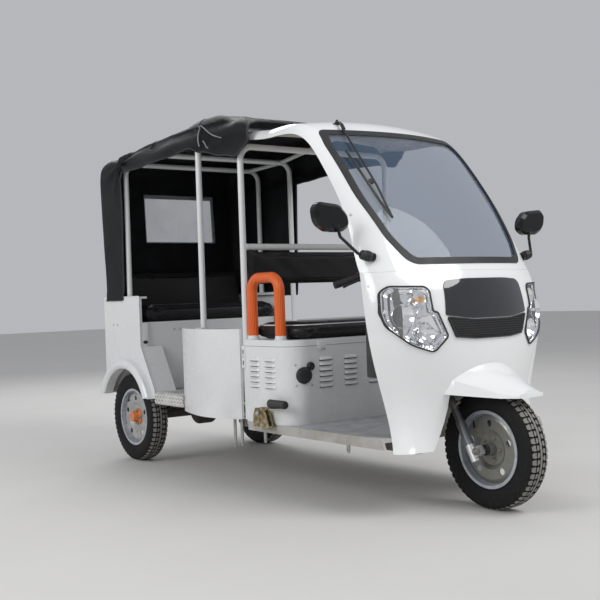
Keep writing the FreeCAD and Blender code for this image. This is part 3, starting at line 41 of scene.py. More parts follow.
camera_data.sensor_width = 36
camera_data.lens = 990.8 / 600 * 36
camera = bpy.data.objects.new("camera", camera_data)
turn = Matrix((tilted_right, tilted_up, -forward)).transposed().to_4x4()
camera.matrix_world = Matrix.Translation((AHEAD + 2.9734, -3.2392, 0.9505)) @ turn
bpy.context.scene.collection.objects.link(camera)
bpy.context.scene.camera = camera

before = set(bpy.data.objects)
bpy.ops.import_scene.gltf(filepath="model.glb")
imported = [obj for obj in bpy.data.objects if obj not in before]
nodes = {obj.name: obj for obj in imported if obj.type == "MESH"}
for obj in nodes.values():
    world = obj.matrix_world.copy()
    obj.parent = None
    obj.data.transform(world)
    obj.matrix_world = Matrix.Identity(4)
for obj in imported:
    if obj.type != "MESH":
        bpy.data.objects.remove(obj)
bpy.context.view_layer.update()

# Studio: a plain pale floor, a pale surround for the gloss to reflect, and large soft lamps.
# Colours here come out about as they are written.
bpy.context.scene.view_settings.view_transform = "Standard"


class Sock:
    """A shader or geometry value that takes Python's operators; each adds its Math node."""

    def __init__(self, tree, socket):
        self.tree = tree
        self.socket = socket

    def node(self, kind, settings=(), **values):
        made = self.tree.nodes.new(kind)
        for name, value in dict(settings).items():
            setattr(made, name, value)
        for name, value in values.items():
            key = int(name[1:]) if name[0] == "i" and name[1:].isdigit() else name.replace("_", " ")
            socket = made.inputs[key]
            if isinstance(value, Sock):
                self.tree.links.new(value.socket, socket)
            else:
                socket.default_value = value
        return made

    def out(self, kind, settings=(), port=0, **values):
        return Sock(self.tree, self.node(kind, settings, **values).outputs[port])

    def math(self, operation, *values):
        inputs = {f"i{i}": value for i, value in enumerate(values)}
        return self.out("ShaderNodeMath", {"operation": operation}, **inputs)

    def __add__(self, other):
        return self.math("ADD", self, other)

    def __sub__(self, other):
        return self.math("SUBTRACT", self, other)

    def __rsub__(self, other):
        return self.math("SUBTRACT", other, self)

    def __mul__(self, other):
        return self.math("MULTIPLY", self, other)

    def __truediv__(self, other):
        return self.math("DIVIDE", self, other)

    __radd__ = __add__
    __rmul__ = __mul__

    def step(self, low, high):
        """0 below low, 1 above high, smooth between."""
        return self.out(
            "ShaderNodeMapRange",
            {"interpolation_type": "SMOOTHSTEP"},
            Value=self,
            From_Min=low,
            From_Max=high,
        )

    def mix(self, first, second):
        """Colour between two, this value being the share of the second."""
        made = self.tree.nodes.new("ShaderNodeMix")
        made.data_type = "RGBA"
        for socket, value in ((made.inputs[0], self), (made.inputs[6], first), (made.inputs[7], second)):
            if isinstance(value, Sock):
                self.tree.links.new(value.socket, socket)
            else:
                socket.default_value = (*value, 1) if len(value) == 3 else value
        return Sock(self.tree, made.outputs[2])

    def part(self, letter):
        """One coordinate of a place, x, y or z."""
        return self.out("ShaderNodeSeparateXYZ", {}, "xyz".index(letter), Vector=self)

    def grain(self, scale, detail):
        """Noise over a place, 0 to 1, so many patches to the metre."""
        return self.out("ShaderNodeTexNoise", Vector=self, Scale=scale, Detail=detail)

    def relief(self, strength, distance):
        """Normal of a surface whose height is this value."""
        return self.out("ShaderNodeBump", {}, Height=self, Strength=strength, Distance=distance)


def finish_of(name):
    """New material: its principled shader, and a Sock that reads object coordinates."""
    material = bpy.data.materials.new(name)
    material.use_nodes = True
    tree = material.node_tree
    shader = tree.nodes["Principled BSDF"]
    place = Sock(tree, tree.nodes.new("ShaderNodeTexCoord").outputs["Object"])
    return material, shader, place


def plug(shader, **values):
    """Sets the shader's sockets: a number, a colour or a Sock each."""
    for name, value in values.items():
        socket = shader.inputs[name.replace("_", " ")]
        if isinstance(value, Sock):
            value.tree.links.new(value.socket, socket)
        elif isinstance(value, tuple) and len(value) == 3:
            socket.default_value = (*value, 1)
        else:
            socket.default_value = value


world = bpy.data.worlds.new("studio")
bpy.context.scene.world = world
world.use_nodes = True
world.node_tree.nodes["Background"].inputs[0].default_value = (0.93, 0.95, 1.0, 1)
world.node_tree.nodes["Background"].inputs[1].default_value = 0.5

floor_mesh = bpy.data.meshes.new("floor")
floor_mesh.from_pydata([(-30, -30, 0), (30, -30, 0), (30, 30, 0), (-30, 30, 0)], [], [(0, 1, 2, 3)])
floor = bpy.data.objects.new("floor", floor_mesh)
bpy.context.scene.collection.objects.link(floor)
pale, shader, place = finish_of("pale floor")
plug(shader, Base_Color=place.grain(1.5, 5).mix((0.60, 0.59, 0.57), (0.66, 0.65, 0.63)), Roughness=0.9)
floor_mesh.materials.append(pale)


def lamp(name, place, aim, size, watts):
    data = bpy.data.lights.new(name, "AREA")
    data.shape = "DISK"
    data.size = size
    data.energy = watts
    lit = bpy.data.objects.new(name, data)
    lit.location = place
    lit.rotation_euler = (Vector(aim) - Vector(place)).to_track_quat("-Z", "Y").to_euler()
    bpy.context.scene.collection.objects.link(lit)


lamp("key", (5.5, 1.5, 6.0), (0.3, 0, 0.8), 4.6, 285)
lamp("side", (0.5, -7.0, 4.0), (0, 0, 0.8), 4.0, 190)
lamp("back", (-6.0, 2.0, 5.0), (0, 0, 1.0), 4.0, 130)

# Chassis and running gear: welded box rails, axle and leaf springs under satin black paint,
# dulled with road dust from below, as every steel part under the floors is.
ROAD_DUST = (0.36, 0.33, 0.28)


def paint(name, colour, roughness, dust=0.3, peel=0.05, low=0.25, high=0.9, **more):
    """Sprayed paint: faint mottling, orange peel, and dust that settles towards the ground."""
    material, shader, place = finish_of(name)
    patch = place.grain(6.0, 5)
    settled = (1 - place.part("z").step(low, high)) * patch.step(0.3, 0.8) * dust
    darker = tuple(c * 0.94 for c in colour)
    plug(
        shader,
        Base_Color=settled.mix(place.grain(2.2, 2).mix(darker, colour), ROAD_DUST),
        Roughness=settled * 0.35 + patch * 0.08 + roughness,
        Normal=place.grain(420, 1).relief(peel, 0.0006),
        **more,
    )
    return material


def dress(material, *names):
    """Gives CAD nodes their finish."""
    for name in names:
        nodes[name].data.materials.clear()
        nodes[name].data.materials.append(material)


frame_black = paint("satin black frame paint", (0.022, 0.022, 0.024), 0.42, dust=0.5)
dress(frame_black, "chassis_frame")
iron, shader, place = finish_of("painted cast iron")
pitted = place.grain(120, 4)
plug(
    shader,
    Base_Color=pitted.step(0.35, 0.75).mix((0.035, 0.033, 0.032), (0.11, 0.095, 0.08)),
    Roughness=pitted * 0.3 + 0.5,
    Normal=pitted.relief(0.35, 0.001),
)
dress(iron, "rear_axle", "leaf_springs")
cast, shader, place = finish_of("bare cast engine")
pitted = place.grain(90, 5)
plug(
    shader,
    Base_Color=pitted.mix((0.16, 0.155, 0.15), (0.34, 0.335, 0.33)),
    Roughness=pitted * 0.3 + 0.45,
    Metallic=0.7,
    Normal=pitted.relief(0.5, 0.0015),
)
dress(cast, "engine_block")


class Form:
    """One piece's mesh as it is gathered: its spots, its faces and each face's material."""

    def __init__(self):
        self.spots, self.faces, self.kinds = [], [], []

    def add(self, spots, faces, kind=0):
        base = len(self.spots)
        self.spots += [tuple(spot) for spot in spots]
        self.faces += [tuple(base + i for i in face) for face in faces]
        self.kinds += [kind] * len(faces)
        return self

    def made(self, name, *materials, smooth=40, weld=0.0, turn_out=True):
        """The object, smooth up to an angle between faces, riding on nothing yet."""
        mesh = bpy.data.meshes.new(name)
        mesh.from_pydata(self.spots, [], self.faces)
        for material in materials:
            mesh.materials.append(material)
        mesh.polygons.foreach_set("material_index", self.kinds)
        work = bmesh.new()
        work.from_mesh(mesh)
        if weld:
            bmesh.ops.remove_doubles(work, verts=work.verts, dist=weld)
        if turn_out:
            bmesh.ops.recalc_face_normals(work, faces=work.faces)
        work.to_mesh(mesh)
        work.free()
        mesh.shade_smooth()
        if smooth < 180:
            mesh.set_sharp_from_angle(angle=math.radians(smooth))
        piece = bpy.data.objects.new(name, mesh)
        bpy.context.scene.collection.objects.link(piece)
        return piece


def rings(loops, closed=True, capped=True):
    """Faces between loops of equal count that follow one another, and a cap at each end."""
    count = len(loops[0])
    spots = [spot for loop in loops for spot in loop]
    faces = []
    for i in range(len(loops) - 1):
        for j in range(count if closed else count - 1):
            a, b = i * count + j, i * count + (j + 1) % count
            faces.append((a, b, b + count, a + count))
    if capped and closed:
        faces.append(tuple(reversed(range(count))))
        faces.append(tuple(range((len(loops) - 1) * count, len(loops) * count)))
    return spots, faces


def turned(profile, place, sides=32, capped=True):
    """Lathe work: (along, radius) pairs turned about the local Z axis, set at place."""
    angles = [2 * math.pi * k / sides for k in range(sides)]
    loops = [
        [place @ Vector((radius * math.cos(t), radius * math.sin(t), along)) for t in angles]
        for along, radius in profile
    ]
    return rings(loops, True, capped)


def facing(spot, aim):
    """Place whose local Z axis points along aim."""
    return Matrix.Translation(spot) @ Vector(aim).to_track_quat("Z", "Y").to_matrix().to_4x4()


def piped(points, radius, sides=12, closed=False, capped=True):
    """Tube along points, its section turned with the path; radius a number or one for each point."""
    path = [Vector(p) for p in points]
    count = len(path)
    sizes = radius if hasattr(radius, "__len__") else [radius] * count
    angles = [2 * math.pi * k / sides for k in range(sides)]
    loops = []
    across = None
    for i, spot in enumerate(path):
        after = path[(i + 1) % count] if closed or i < count - 1 else spot
        before = path[i - 1] if closed or i else spot
        along = (after - before).normalized()
        if across is None:
            across = along.orthogonal().normalized()
        across = (across - along * across.dot(along)).normalized()
        beside = along.cross(across)
        loops.append([spot + sizes[i] * (math.cos(t) * across + math.sin(t) * beside) for t in angles])
    if closed:
        loops.append(loops[0])
    return rings(loops, True, capped and not closed)


def rounded(points, bend, count=5, closed=False):
    """Points of a path with each corner rounded by an arc-like curve."""
    path = [Vector(p) for p in points]
    total = len(path)
    out = []
    for i, spot in enumerate(path):
        if not closed and i in (0, total - 1):
            out.append(spot)
            continue
        to_before = path[i - 1] - spot
        to_after = path[(i + 1) % total] - spot
        reach = bend[i] if hasattr(bend, "__len__") else bend
        reach = min(reach, to_before.length * 0.49, to_after.length * 0.49)
        a = spot + to_before.normalized() * reach
        b = spot + to_after.normalized() * reach
        for k in range(count + 1):
            t = k / count
            out.append(a * (1 - t) ** 2 + spot * 2 * t * (1 - t) + b * t**2)
    return out


def growth(name, *inputs):
    """New geometry tree with named inputs (label, kind, value); its Socks by label."""
    tree = bpy.data.node_groups.new(name, "GeometryNodeTree")
    tree.interface.new_socket("Geometry", in_out="INPUT", socket_type="NodeSocketGeometry")
    for label, kind, value in inputs:
        socket = tree.interface.new_socket(label, in_out="INPUT", socket_type="NodeSocket" + kind)
        socket.default_value = value
    tree.interface.new_socket("Geometry", in_out="OUTPUT", socket_type="NodeSocketGeometry")
    start = tree.nodes.new("NodeGroupInput")
    return {socket.name: Sock(tree, socket) for socket in start.outputs if socket.name}


def ended(shape, material):
    """Ends a tree: copies made real, and given their material."""
    real = shape.out("GeometryNodeRealizeInstances", {}, Geometry=shape)
    done = real.out("GeometryNodeSetMaterial", {}, Geometry=real, Material=material)
    last = done.tree.nodes.new("NodeGroupOutput")
    done.tree.links.new(done.socket, last.inputs[0])
    return done.tree


def grown(piece, tree, **sizes):
    """Runs the tree on the piece with these sizes, and keeps the result as its plain mesh."""
    modifier = piece.modifiers.new("growth", "NODES")
    modifier.node_group = tree
    for item in tree.interface.items_tree:
        key = item.name.replace(" ", "_")
        if item.in_out == "INPUT" and key in sizes:
            modifier[item.identifier] = sizes[key]
    bpy.context.view_layer.update()
    result = piece.evaluated_get(bpy.context.evaluated_depsgraph_get())
    mesh = bpy.data.meshes.new_from_object(result)
    piece.modifiers.remove(modifier)
    mesh.shade_smooth()
    mesh.set_sharp_from_angle(angle=math.radians(35))
    piece.data = mesh
    return piece


def merged(piece, *others, smooth=40):
    """One piece of several, each polygon keeping its material."""
    mesh = bpy.data.meshes.new(piece.name)
    work = bmesh.new()
    slots = []
    for source in (piece, *others):
        start = len(work.faces)
        work.from_mesh(source.data)
        work.faces.ensure_lookup_table()
        for face in work.faces[start:]:
            material = source.data.materials[face.material_index]
            if material not in slots:
                slots.append(material)
            face.material_index = slots.index(material)
    work.to_mesh(mesh)
    work.free()
    for material in slots:
        mesh.materials.append(material)
    mesh.shade_smooth()
    mesh.set_sharp_from_angle(angle=math.radians(smooth))
    piece.data = mesh
    for other in others:
        bpy.data.objects.remove(other)
    return piece


# Tyres: black rubber, moulded: a rounded carcass and a block tread in 54 pitches, with a zigzag
# rib in the middle, a row of blocks each side of it and six-sided shoulder blocks.
AXLE_HEIGHT, REAR_AXLE, TRACK_HALF = 0.262, AHEAD - 2.44, 0.4475
WHEELS = {
    # centre of the wheel, which way its outer side faces, its body
    "front": ((AHEAD, 0.0, AXLE_HEIGHT), -1, "front_wheel"),
    "rear_left": ((REAR_AXLE, TRACK_HALF, AXLE_HEIGHT), 1, "rear_wheel_left"),
    "rear_right": ((REAR_AXLE, -TRACK_HALF, AXLE_HEIGHT), -1, "rear_wheel_right"),
}
PITCHES = 54
TREAD_TOP, CROWN_HALF, CROWN_DROP = 0.2618, 0.030, 0.0008
CARCASS = (
    # across, radius
    (0.0400, 0.1600), (0.0402, 0.1720), (0.0440, 0.1735), (0.0470, 0.1770), (0.0500, 0.1800),
    (0.0503, 0.1822), (0.0518, 0.1850), (0.0545, 0.1950), (0.0558, 0.2080), (0.0556, 0.2200),
    (0.0540, 0.2310), (0.0512, 0.2410), (0.0478, 0.2480), (0.0420, 0.2535), (0.0300, 0.2560),
    (0.0150, 0.2570), (0.0, 0.2572),
)
TREAD_BLOCKS = (
    # outline of each block: (along the tread, across it), in mm
    ((-15.3, -8.5), (0, -5.5), (15.3, -8.5), (15.3, 5.5), (0, 8.5), (-15.3, 5.5)),
    ((-11, 12), (1, 9.5), (11, 13), (12, 23), (2, 25.5), (-12, 22)),
    ((-11, 27.5), (0, 30), (11, 26.5), (13, 36), (9, 49), (-9, 49), (-13, 36)),
    ((4, -12), (16, -9.5), (26, -13), (27, -23), (17, -25.5), (3, -22)),
    ((4, -27.5), (15, -30), (26, -26.5), (28, -36), (24, -49), (6, -49), (2, -36)),
)


def crown(across):
    """Radius of the tread's outer face at this distance from the middle plane."""
    over = abs(across) - CROWN_HALF
    if over <= 0:
        return TREAD_TOP - CROWN_DROP * (across / CROWN_HALF) ** 2
    return TREAD_TOP - (CROWN_DROP + over * 0.22 + over**2 * 9)


rubber, shader, place = finish_of("tyre rubber")
worn = place.out("ShaderNodeAttribute", {"attribute_name": "worn"}, 2)
scuff = place.grain(70, 5)
dusted = worn * 0.62 + scuff.step(0.5, 0.85) * 0.06
plug(
    shader,
    Base_Color=dusted.mix((0.008, 0.008, 0.009), (0.37, 0.355, 0.325)),
    Roughness=scuff * 0.2 + 0.66,
    Specular_IOR_Level=0.3,
    Normal=place.grain(900, 2).relief(0.15, 0.0005),
)

sizes = growth(
    "copies round a wheel",
    ("Copies", "Int", PITCHES),
    ("Centre", "Vector", (0, 0, 0)),
    ("Finish", "Material", rubber),
)
geometry = sizes["Geometry"]
dots = geometry.out("GeometryNodePoints", {}, Count=sizes["Copies"])
angle = geometry.out("GeometryNodeInputIndex") * (2 * math.pi) / sizes["Copies"]
spin = geometry.out("ShaderNodeCombineXYZ", {}, Y=angle)
copies = geometry.out("GeometryNodeInstanceOnPoints", Points=dots, Instance=geometry, Rotation=spin)
moved = geometry.out("GeometryNodeTransform", {}, Geometry=copies, Translation=sizes["Centre"])
tread_tree = ended(moved, sizes["Finish"])

for wheel, (centre, out, body) in WHEELS.items():
    pitch = Form()
    for outline in TREAD_BLOCKS:
        loops = []
        middle = [sum(p[i] for p in outline) / len(outline) for i in (0, 1)]
        for lift, spread in ((-0.008, 1.05), (-0.0014, 1.0), (0.0, 0.9)):
            loop = []
            for along, across in outline:
                a = (middle[1] + (across - middle[1]) * spread) / 1000
                turn_by = (middle[0] + (along - middle[0]) * (spread if abs(along) < 15.2 else 1)) / 262
                r = crown(a) + lift * (1 if abs(across) < 45 or lift > -0.002 else 1.4)
                loop.append((math.sin(turn_by) * r, a, math.cos(turn_by) * r))
            loops.append(loop)
        spots, faces = rings(loops)
        pitch.add(spots, faces[:-2])
        pitch.add([loops[-1][i] for i in range(len(outline))], [tuple(range(len(outline)))], 1)
    tread = pitch.made("tread_" + wheel, rubber, smooth=25, weld=0.00001)
    marks = tread.data.attributes.new("worn", "FLOAT", "FACE")
    marks.data.foreach_set("value", [float(p.material_index > 0) for p in tread.data.polygons])
    tread.data.polygons.foreach_set("material_index", [0] * len(tread.data.polygons))
    grown(tread, tread_tree, Centre=centre)
    whole = [(-a, r) for a, r in CARCASS[:-1]] + [(a, r) for a, r in reversed(CARCASS)]
    carcass = Form().add(*turned(whole + whole[:1], facing(centre, (0, 1, 0)), 96, capped=False))
    carcass = carcass.made("carcass_" + wheel, rubber, smooth=60, weld=0.00001)
    tread.name = "rubber_tyre_" + wheel
    merged(tread, carcass)
    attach(tread, body)
    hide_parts("tyre_" + wheel)

# Wheels: pressed steel rims sprayed silver, brighter on the outer band, with a valve and hexagon
# nuts on their studs; the rear ones sit on orange cast hubs, the front one has a black dust seal.
NUTS = 5
VALVE_ANGLE = 2.3
nut_steel, shader, place = finish_of("dull zinc nuts")
tarnish = place.grain(260, 3)
plug(
    shader,
    Base_Color=tarnish.mix((0.22, 0.20, 0.17), (0.48, 0.46, 0.43)),
    Metallic=0.8,
    Roughness=tarnish * 0.3 + 0.3,
)
hub_orange = paint("orange hub paint", (0.80, 0.22, 0.03), 0.38, dust=0.7, low=0.0, high=0.6)
seal_black, shader, place = finish_of("black moulded rubber")
plug(
    shader,
    Base_Color=place.grain(60, 4).mix((0.010, 0.010, 0.011), (0.030, 0.030, 0.031)),
    Roughness=place.grain(30, 3) * 0.25 + 0.42,
    Normal=place.grain(700, 2).relief(0.12, 0.0004),
)


def from_axle(place, centre):
    """Distance of a place from a wheel's axle."""
    x = place.part("x") - centre[0]
    z = place.part("z") - centre[2]
    square = x * x + z * z
    return square.math("SQRT", square)


def rim_paint(wheel, disc):
    """Sprayed rim: the disc's colour inside, silver on the outer band, brake dust over both."""
    material, shader, place = finish_of("rim paint " + wheel)
    band = from_axle(place, WHEELS[wheel][0]).step(0.149, 0.152)
    grime = place.grain(38, 6).step(0.38, 0.85)
    plug(
        shader,
        Base_Color=(grime * 0.45).mix(band.mix(disc, (0.50, 0.53, 0.58)), (0.17, 0.15, 0.12)),
        Metallic=0.45,
        Roughness=grime * 0.3 + 0.3,
        Normal=place.grain(260, 2).relief(0.1, 0.0006),
    )
    return material


def outward(centre, out, radius, angle, away):
    """Spot on a wheel: radius and angle about the axle, away from the middle plane on its outer side."""
    return Vector(centre) + Vector((math.cos(angle) * radius, out * away, math.sin(angle) * radius))


for wheel, (centre, out, body) in WHEELS.items():
    dress(rim_paint(wheel, (0.24, 0.24, 0.215) if wheel == "front" else (0.47, 0.475, 0.46)), "rim_" + wheel)
    ring, seat = (0.050, 0.0162) if wheel == "front" else (0.0395, 0.0237)
    nut = Form()
    spot = facing((ring, out * seat, 0), (0, out, 0))
    nut.add(*turned(((0, 0.0105), (0.0015, 0.0105)), spot, 16))
    nut.add(*turned(((0.0015, 0.0088), (0.0075, 0.0088), (0.0088, 0.0072)), spot, 6))
    nut.add(*turned(((0.0088, 0.0042), (0.0135, 0.0042), (0.0143, 0.0032)), spot, 10))
    nut = nut.made("wheel_nuts_" + wheel, nut_steel, smooth=30)
    grown(nut, tread_tree, Copies=NUTS, Centre=centre, Finish=nut_steel)
    trim = Form()
    hub = facing(Vector(centre), (0, out, 0))
    if wheel == "front":
        seal_ring = (
            (0.046, 0.0243), (0.0590, 0.0243), (0.0612, 0.0220),
            (0.0618, 0.0135), (0.0600, 0.0098), (0.0566, 0.0098),
        )
        trim.add(*turned(seal_ring, hub, 40, capped=False), kind=1)
    else:
        cast_hub = (
            (0.0163, 0.0496), (0.0215, 0.0499), (0.0237, 0.0475), (0.0240, 0.0340),
            (0.0262, 0.0318), (0.0440, 0.0300), (0.0560, 0.0282), (0.0588, 0.0255),
            (0.0596, 0.0180), (0.0577, 0.0165), (0.0579, 0.0002),
        )
        trim.add(*turned(cast_hub, hub, 48), kind=0)
    valve = ((0.1535, 0.0150), (0.1420, 0.0235), (0.1255, 0.0330))
    path = [outward(centre, out, radius, VALVE_ANGLE, away) for radius, away in valve]
    trim.add(*piped(rounded(path, 0.008), 0.0042, 12), kind=1)
    trim.add(*piped([path[-1], path[-1] + (path[-1] - path[-2]) * 0.35], (0.0048, 0.0046), 10), kind=1)
    trim = trim.made("hub_trim_" + wheel, hub_orange, seal_black, smooth=35, weld=0.00001)
    for piece in (nut, trim):
        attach(piece, body)

# Front fork and handlebar: steel legs, satin grey with bright lower ends, on a welded yoke; the bar
# is plated, with ribbed rubber grips, brake levers on clamps and a switch box beside each grip.
RAKE = math.radians(28.2)
UP_FORK = Vector((-math.sin(RAKE), 0, math.cos(RAKE)))
AHEAD_FORK = Vector((math.cos(RAKE), 0, math.sin(RAKE)))
FRONT_AXLE = Vector((AHEAD, 0, AXLE_HEIGHT))
LEG_SIDE = 0.095


def on_fork(up, setback, side=0.0):
    """Spot up the rake from the axle, set back from it and to one side."""
    return FRONT_AXLE + UP_FORK * up - AHEAD_FORK * setback + Vector((0, side, 0))


fork_grey, shader, place = finish_of("satin grey fork legs")
rise = (place.part("x") - AHEAD) * UP_FORK.x + (place.part("z") - AXLE_HEIGHT) * UP_FORK.z
bright = 1 - rise.step(0.040, 0.046)
smear = place.grain(45, 5)
plug(
    shader,
    Base_Color=bright.mix(smear.mix((0.13, 0.135, 0.145), (0.24, 0.245, 0.26)), (0.66, 0.67, 0.68)),
    Metallic=bright * 0.15 + 0.65,
    Roughness=smear * 0.2 + 0.28,
    Normal=smear.relief(0.04, 0.0004),
)
dress(fork_grey, "front_fork")
fixings = Form()
for side in (-1, 1):
    end = facing(FRONT_AXLE + Vector((0, side * 0.1135, 0)), (0, side, 0))
    fixings.add(*turned(((0, 0.0175), (0.0025, 0.0175), (0.0030, 0.0160)), end, 24))
    fixings.add(*turned(((0.0030, 0.0142), (0.0110, 0.0142), (0.0128, 0.0120)), end, 6))
    fixings.add(*turned(((0.0128, 0.0080), (0.0190, 0.0080), (0.0200, 0.0068)), end, 16))
    inner = facing(FRONT_AXLE + Vector((0, side * 0.0632, 0)), (0, side, 0))
    fixings.add(*turned(((0, 0.0118), (0.0108, 0.0118)), inner, 18))
    for up in (0.294, 0.318):
        clamp = facing(on_fork(up - 0.002, 0.0145, side * LEG_SIDE), AHEAD_FORK)
        fixings.add(*turned(((0, 0.0075), (0.006, 0.0075), (0.007, 0.006)), clamp, 6))
    lug = facing(on_fork(0.232, 0.026, side * LEG_SIDE), AHEAD_FORK)
    fixings.add(*turned(((-0.01, 0.0085), (0.030, 0.0085), (0.032, 0.0070)), lug, 14))
    band = facing(on_fork(0.215, 0.038, side * LEG_SIDE), UP_FORK)
    fixings.add(*turned(((0, 0.0175), (0.0005, 0.0198), (0.0335, 0.0198), (0.034, 0.0175)), band, 32))
fixings = fixings.made("fork_fixings", nut_steel, smooth=30)
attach(fixings, "steering")

bar_finish, shader, place = finish_of("plated bar with rubber grips")
out_of = place.part("y")
out_of = out_of.math("ABSOLUTE", out_of)
gripped = out_of.step(0.2655, 0.2675)
ribs = out_of.math("SINE", out_of * 1250)
streak = place.grain(80, 4)
plug(
    shader,
    Base_Color=gripped.mix(streak.mix((0.50, 0.51, 0.52), (0.66, 0.67, 0.68)), (0.018, 0.018, 0.019)),
    Metallic=1 - gripped,
    Roughness=gripped * 0.38 + streak * 0.12 + 0.16,
    Normal=(ribs * gripped).relief(0.6, 0.0012),
)
dress(bar_finish, "handlebar")
moulded = paint(
    "fine grained black plastic", (0.020, 0.020, 0.022), 0.46, dust=0.12, peel=0.25, low=0.6, high=1.6
)
CLAMP = ((-0.011, 0.0125), (-0.010, 0.0168), (0.010, 0.0168), (0.011, 0.0125))
SWITCH_CASE = ((-0.014, 0.0150), (-0.0125, 0.0205), (0.0125, 0.0205), (0.014, 0.0150))
levers = Form()
for side in (-1, 1):
    neck = [(0.708, side * 0.238, 1.037), (0.738, side * 0.248, 1.036), (0.748, side * 0.270, 1.030)]
    neck += [(0.733, side * 0.325, 1.008), (0.716, side * 0.374, 0.990)]
    path = rounded(neck, 0.03, 6)
    thin = [0.0085 - 0.0035 * min(1.0, k / 8) for k in range(len(path) - 1)] + [0.0075]
    levers.add(*piped(path, thin, 12), kind=1)
    along_bar = (0.285, side * -0.92, 0.269)
    levers.add(*turned(CLAMP, facing((0.6975, side * 0.226, 1.0405), along_bar), 28), kind=0)
    case_at = Vector((0.6925, side * 0.2550, 1.0345))
    levers.add(*turned(SWITCH_CASE, facing(case_at, along_bar), 28), kind=0)
    button = facing(case_at + Vector((-0.014, 0, 0.0145)), (-0.7, 0, 0.72))
    levers.add(*turned(((0, 0.0055), (0.003, 0.0055), (0.004, 0.0040)), button, 14), kind=2)
button_red = paint("red switch cap", (0.55, 0.03, 0.02), 0.3, dust=0.0)
levers = levers.made("brake_levers", moulded, bar_finish, button_red, smooth=40)
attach(levers, "steering")

# Instrument pod: a moulded box on the bar's clamp, with two round dials under domed glass in
# bright rings and a row of three small lights between them.
dress(moulded, "instrument_pod")
dial_glass, shader, place = finish_of("clear dial glass")
plug(shader, Base_Color=(0.55, 0.6, 0.62), Roughness=0.03, Alpha=0.25)
dial_face, shader, place = finish_of("dial face with ticks")
POD_TOP, DIAL_BACK, DIAL_SIDE = 0.992, 0.061, 0.038
from_middle = place.part("y").math("ABSOLUTE", place.part("y")) - DIAL_SIDE
dial_at = on_fork(POD_TOP, DIAL_BACK)
above = place.part("x") * AHEAD_FORK.x + place.part("z") * AHEAD_FORK.z
above = above - (dial_at.x * AHEAD_FORK.x + dial_at.z * AHEAD_FORK.z)
bearing = from_middle.math("ARCTAN2", above, from_middle)
tick = bearing.math("SINE", bearing * 24).step(0.75, 0.9)
square = from_middle * from_middle + above * above
ringed = square.math("SQRT", square).step(0.0195, 0.0200)
plug(
    shader,
    Base_Color=(tick * ringed).mix((0.015, 0.015, 0.016), (0.80, 0.80, 0.78)),
    Roughness=place.grain(40, 2) * 0.1 + 0.4,
)
BEZEL = ((-0.004, 0.0305), (0.0035, 0.0305), (0.0050, 0.0290), (0.0050, 0.0265), (0.0016, 0.0255))
DIAL_DOME = ((0.0018, 0.0262), (0.0040, 0.0200), (0.0052, 0.0100), (0.0056, 0.0004))
EYE = ((-0.003, 0.0042), (0.001, 0.0042), (0.0024, 0.0022), (0.0026, 0.0002))
dials = Form()
for y in (-DIAL_SIDE, DIAL_SIDE):
    top = facing(on_fork(POD_TOP, DIAL_BACK, y), UP_FORK)
    dials.add(*turned(BEZEL, top, 48, capped=False), kind=0)
    dials.add(*turned(((-0.004, 0.0262), (0.0014, 0.0258)), top, 48), kind=1)
    dials.add(*turned(DIAL_DOME, top, 48), kind=2)
for k, colour in enumerate((3, 4, 3)):
    eye = facing(on_fork(POD_TOP, 0.045 + 0.016 * k), UP_FORK)
    dials.add(*turned(EYE, eye, 16), kind=colour)
eye_green = paint("green tell-tale", (0.03, 0.35, 0.08), 0.2, dust=0.0)
dials = dials.made("pod_dials", bar_finish, dial_face, dial_glass, eye_green, button_red, smooth=35)
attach(dials, "steering")

# Cab shell: fairing, hood and front fender are laid up in glass fibre, gloss white outside where
# they lay in the mould, and unpainted brown resin and fibre inside and along the trimmed edges;
# that inner colour is lighter than bare laminate, as painted bounce light from the ground.
def gelcoat(name, centre):
    """White outside; unpainted laminate, lightened by painted bounce light, on faces that look towards the
    centre, an axis or a point.
    """
    material, shader, place = finish_of(name)
    aim = place.out("ShaderNodeNewGeometry", port=1)
    x, y = place.part("x") - centre[0], place.part("y") - centre[1]
    facing_out = aim.part("x") * x + aim.part("y") * y
    if len(centre) > 2:
        facing_out = facing_out + aim.part("z") * (place.part("z") - centre[2])
    inside = 1 - facing_out.step(-0.004, 0.004)
    strands = place.grain(70, 8).step(0.35, 0.7)
    # Unpainted laminate in fibre streaks, its colour lifted above bare resin: painted bounce light.
    laminate_with_bounce_light = strands.mix((0.47, 0.42, 0.34), (0.68, 0.64, 0.56))
    road = (1 - place.part("z").step(0.28, 0.62)) * place.grain(5, 5).step(0.35, 0.75) * 0.22
    white = place.grain(1.6, 2).mix((0.815, 0.825, 0.825), (0.845, 0.855, 0.85))
    plug(
        shader,
        Base_Color=inside.mix(road.mix(white, (0.52, 0.48, 0.42)), laminate_with_bounce_light),
        Roughness=inside * 0.5 + place.grain(9, 3) * 0.06 + 0.11,
        Normal=(place.grain(7, 2) * 3 + strands * inside * 2).relief(0.09, 0.0022),
        Coat_Weight=0.4,
    )
    return material


dress(gelcoat("white gelcoat fairing", (AHEAD - 0.40, 0)), "cab_fairing")
dress(gelcoat("white gelcoat hood", (AHEAD - 0.95, 0, 1.22)), "cab_hood")
dress(gelcoat("white gelcoat fender", (AHEAD - 0.08, 0, 0.36)), "front_fender")


def felt(piece):
    """Search tree over a piece's surface."""
    mesh = piece.data
    return BVHTree.FromPolygons([v.co for v in mesh.vertices], [p.vertices for p in mesh.polygons])


def pressed_on(tree, start, aim):
    """First spot on the surface from start towards aim, and the surface's normal there."""
    return tree.ray_cast(Vector(start), Vector(aim))[:2]


screw_steel, shader, place = finish_of("plated screws")
plug(
    shader,
    Base_Color=place.grain(300, 2).mix((0.42, 0.42, 0.40), (0.62, 0.62, 0.60)),
    Metallic=0.9,
    Roughness=0.3,
)


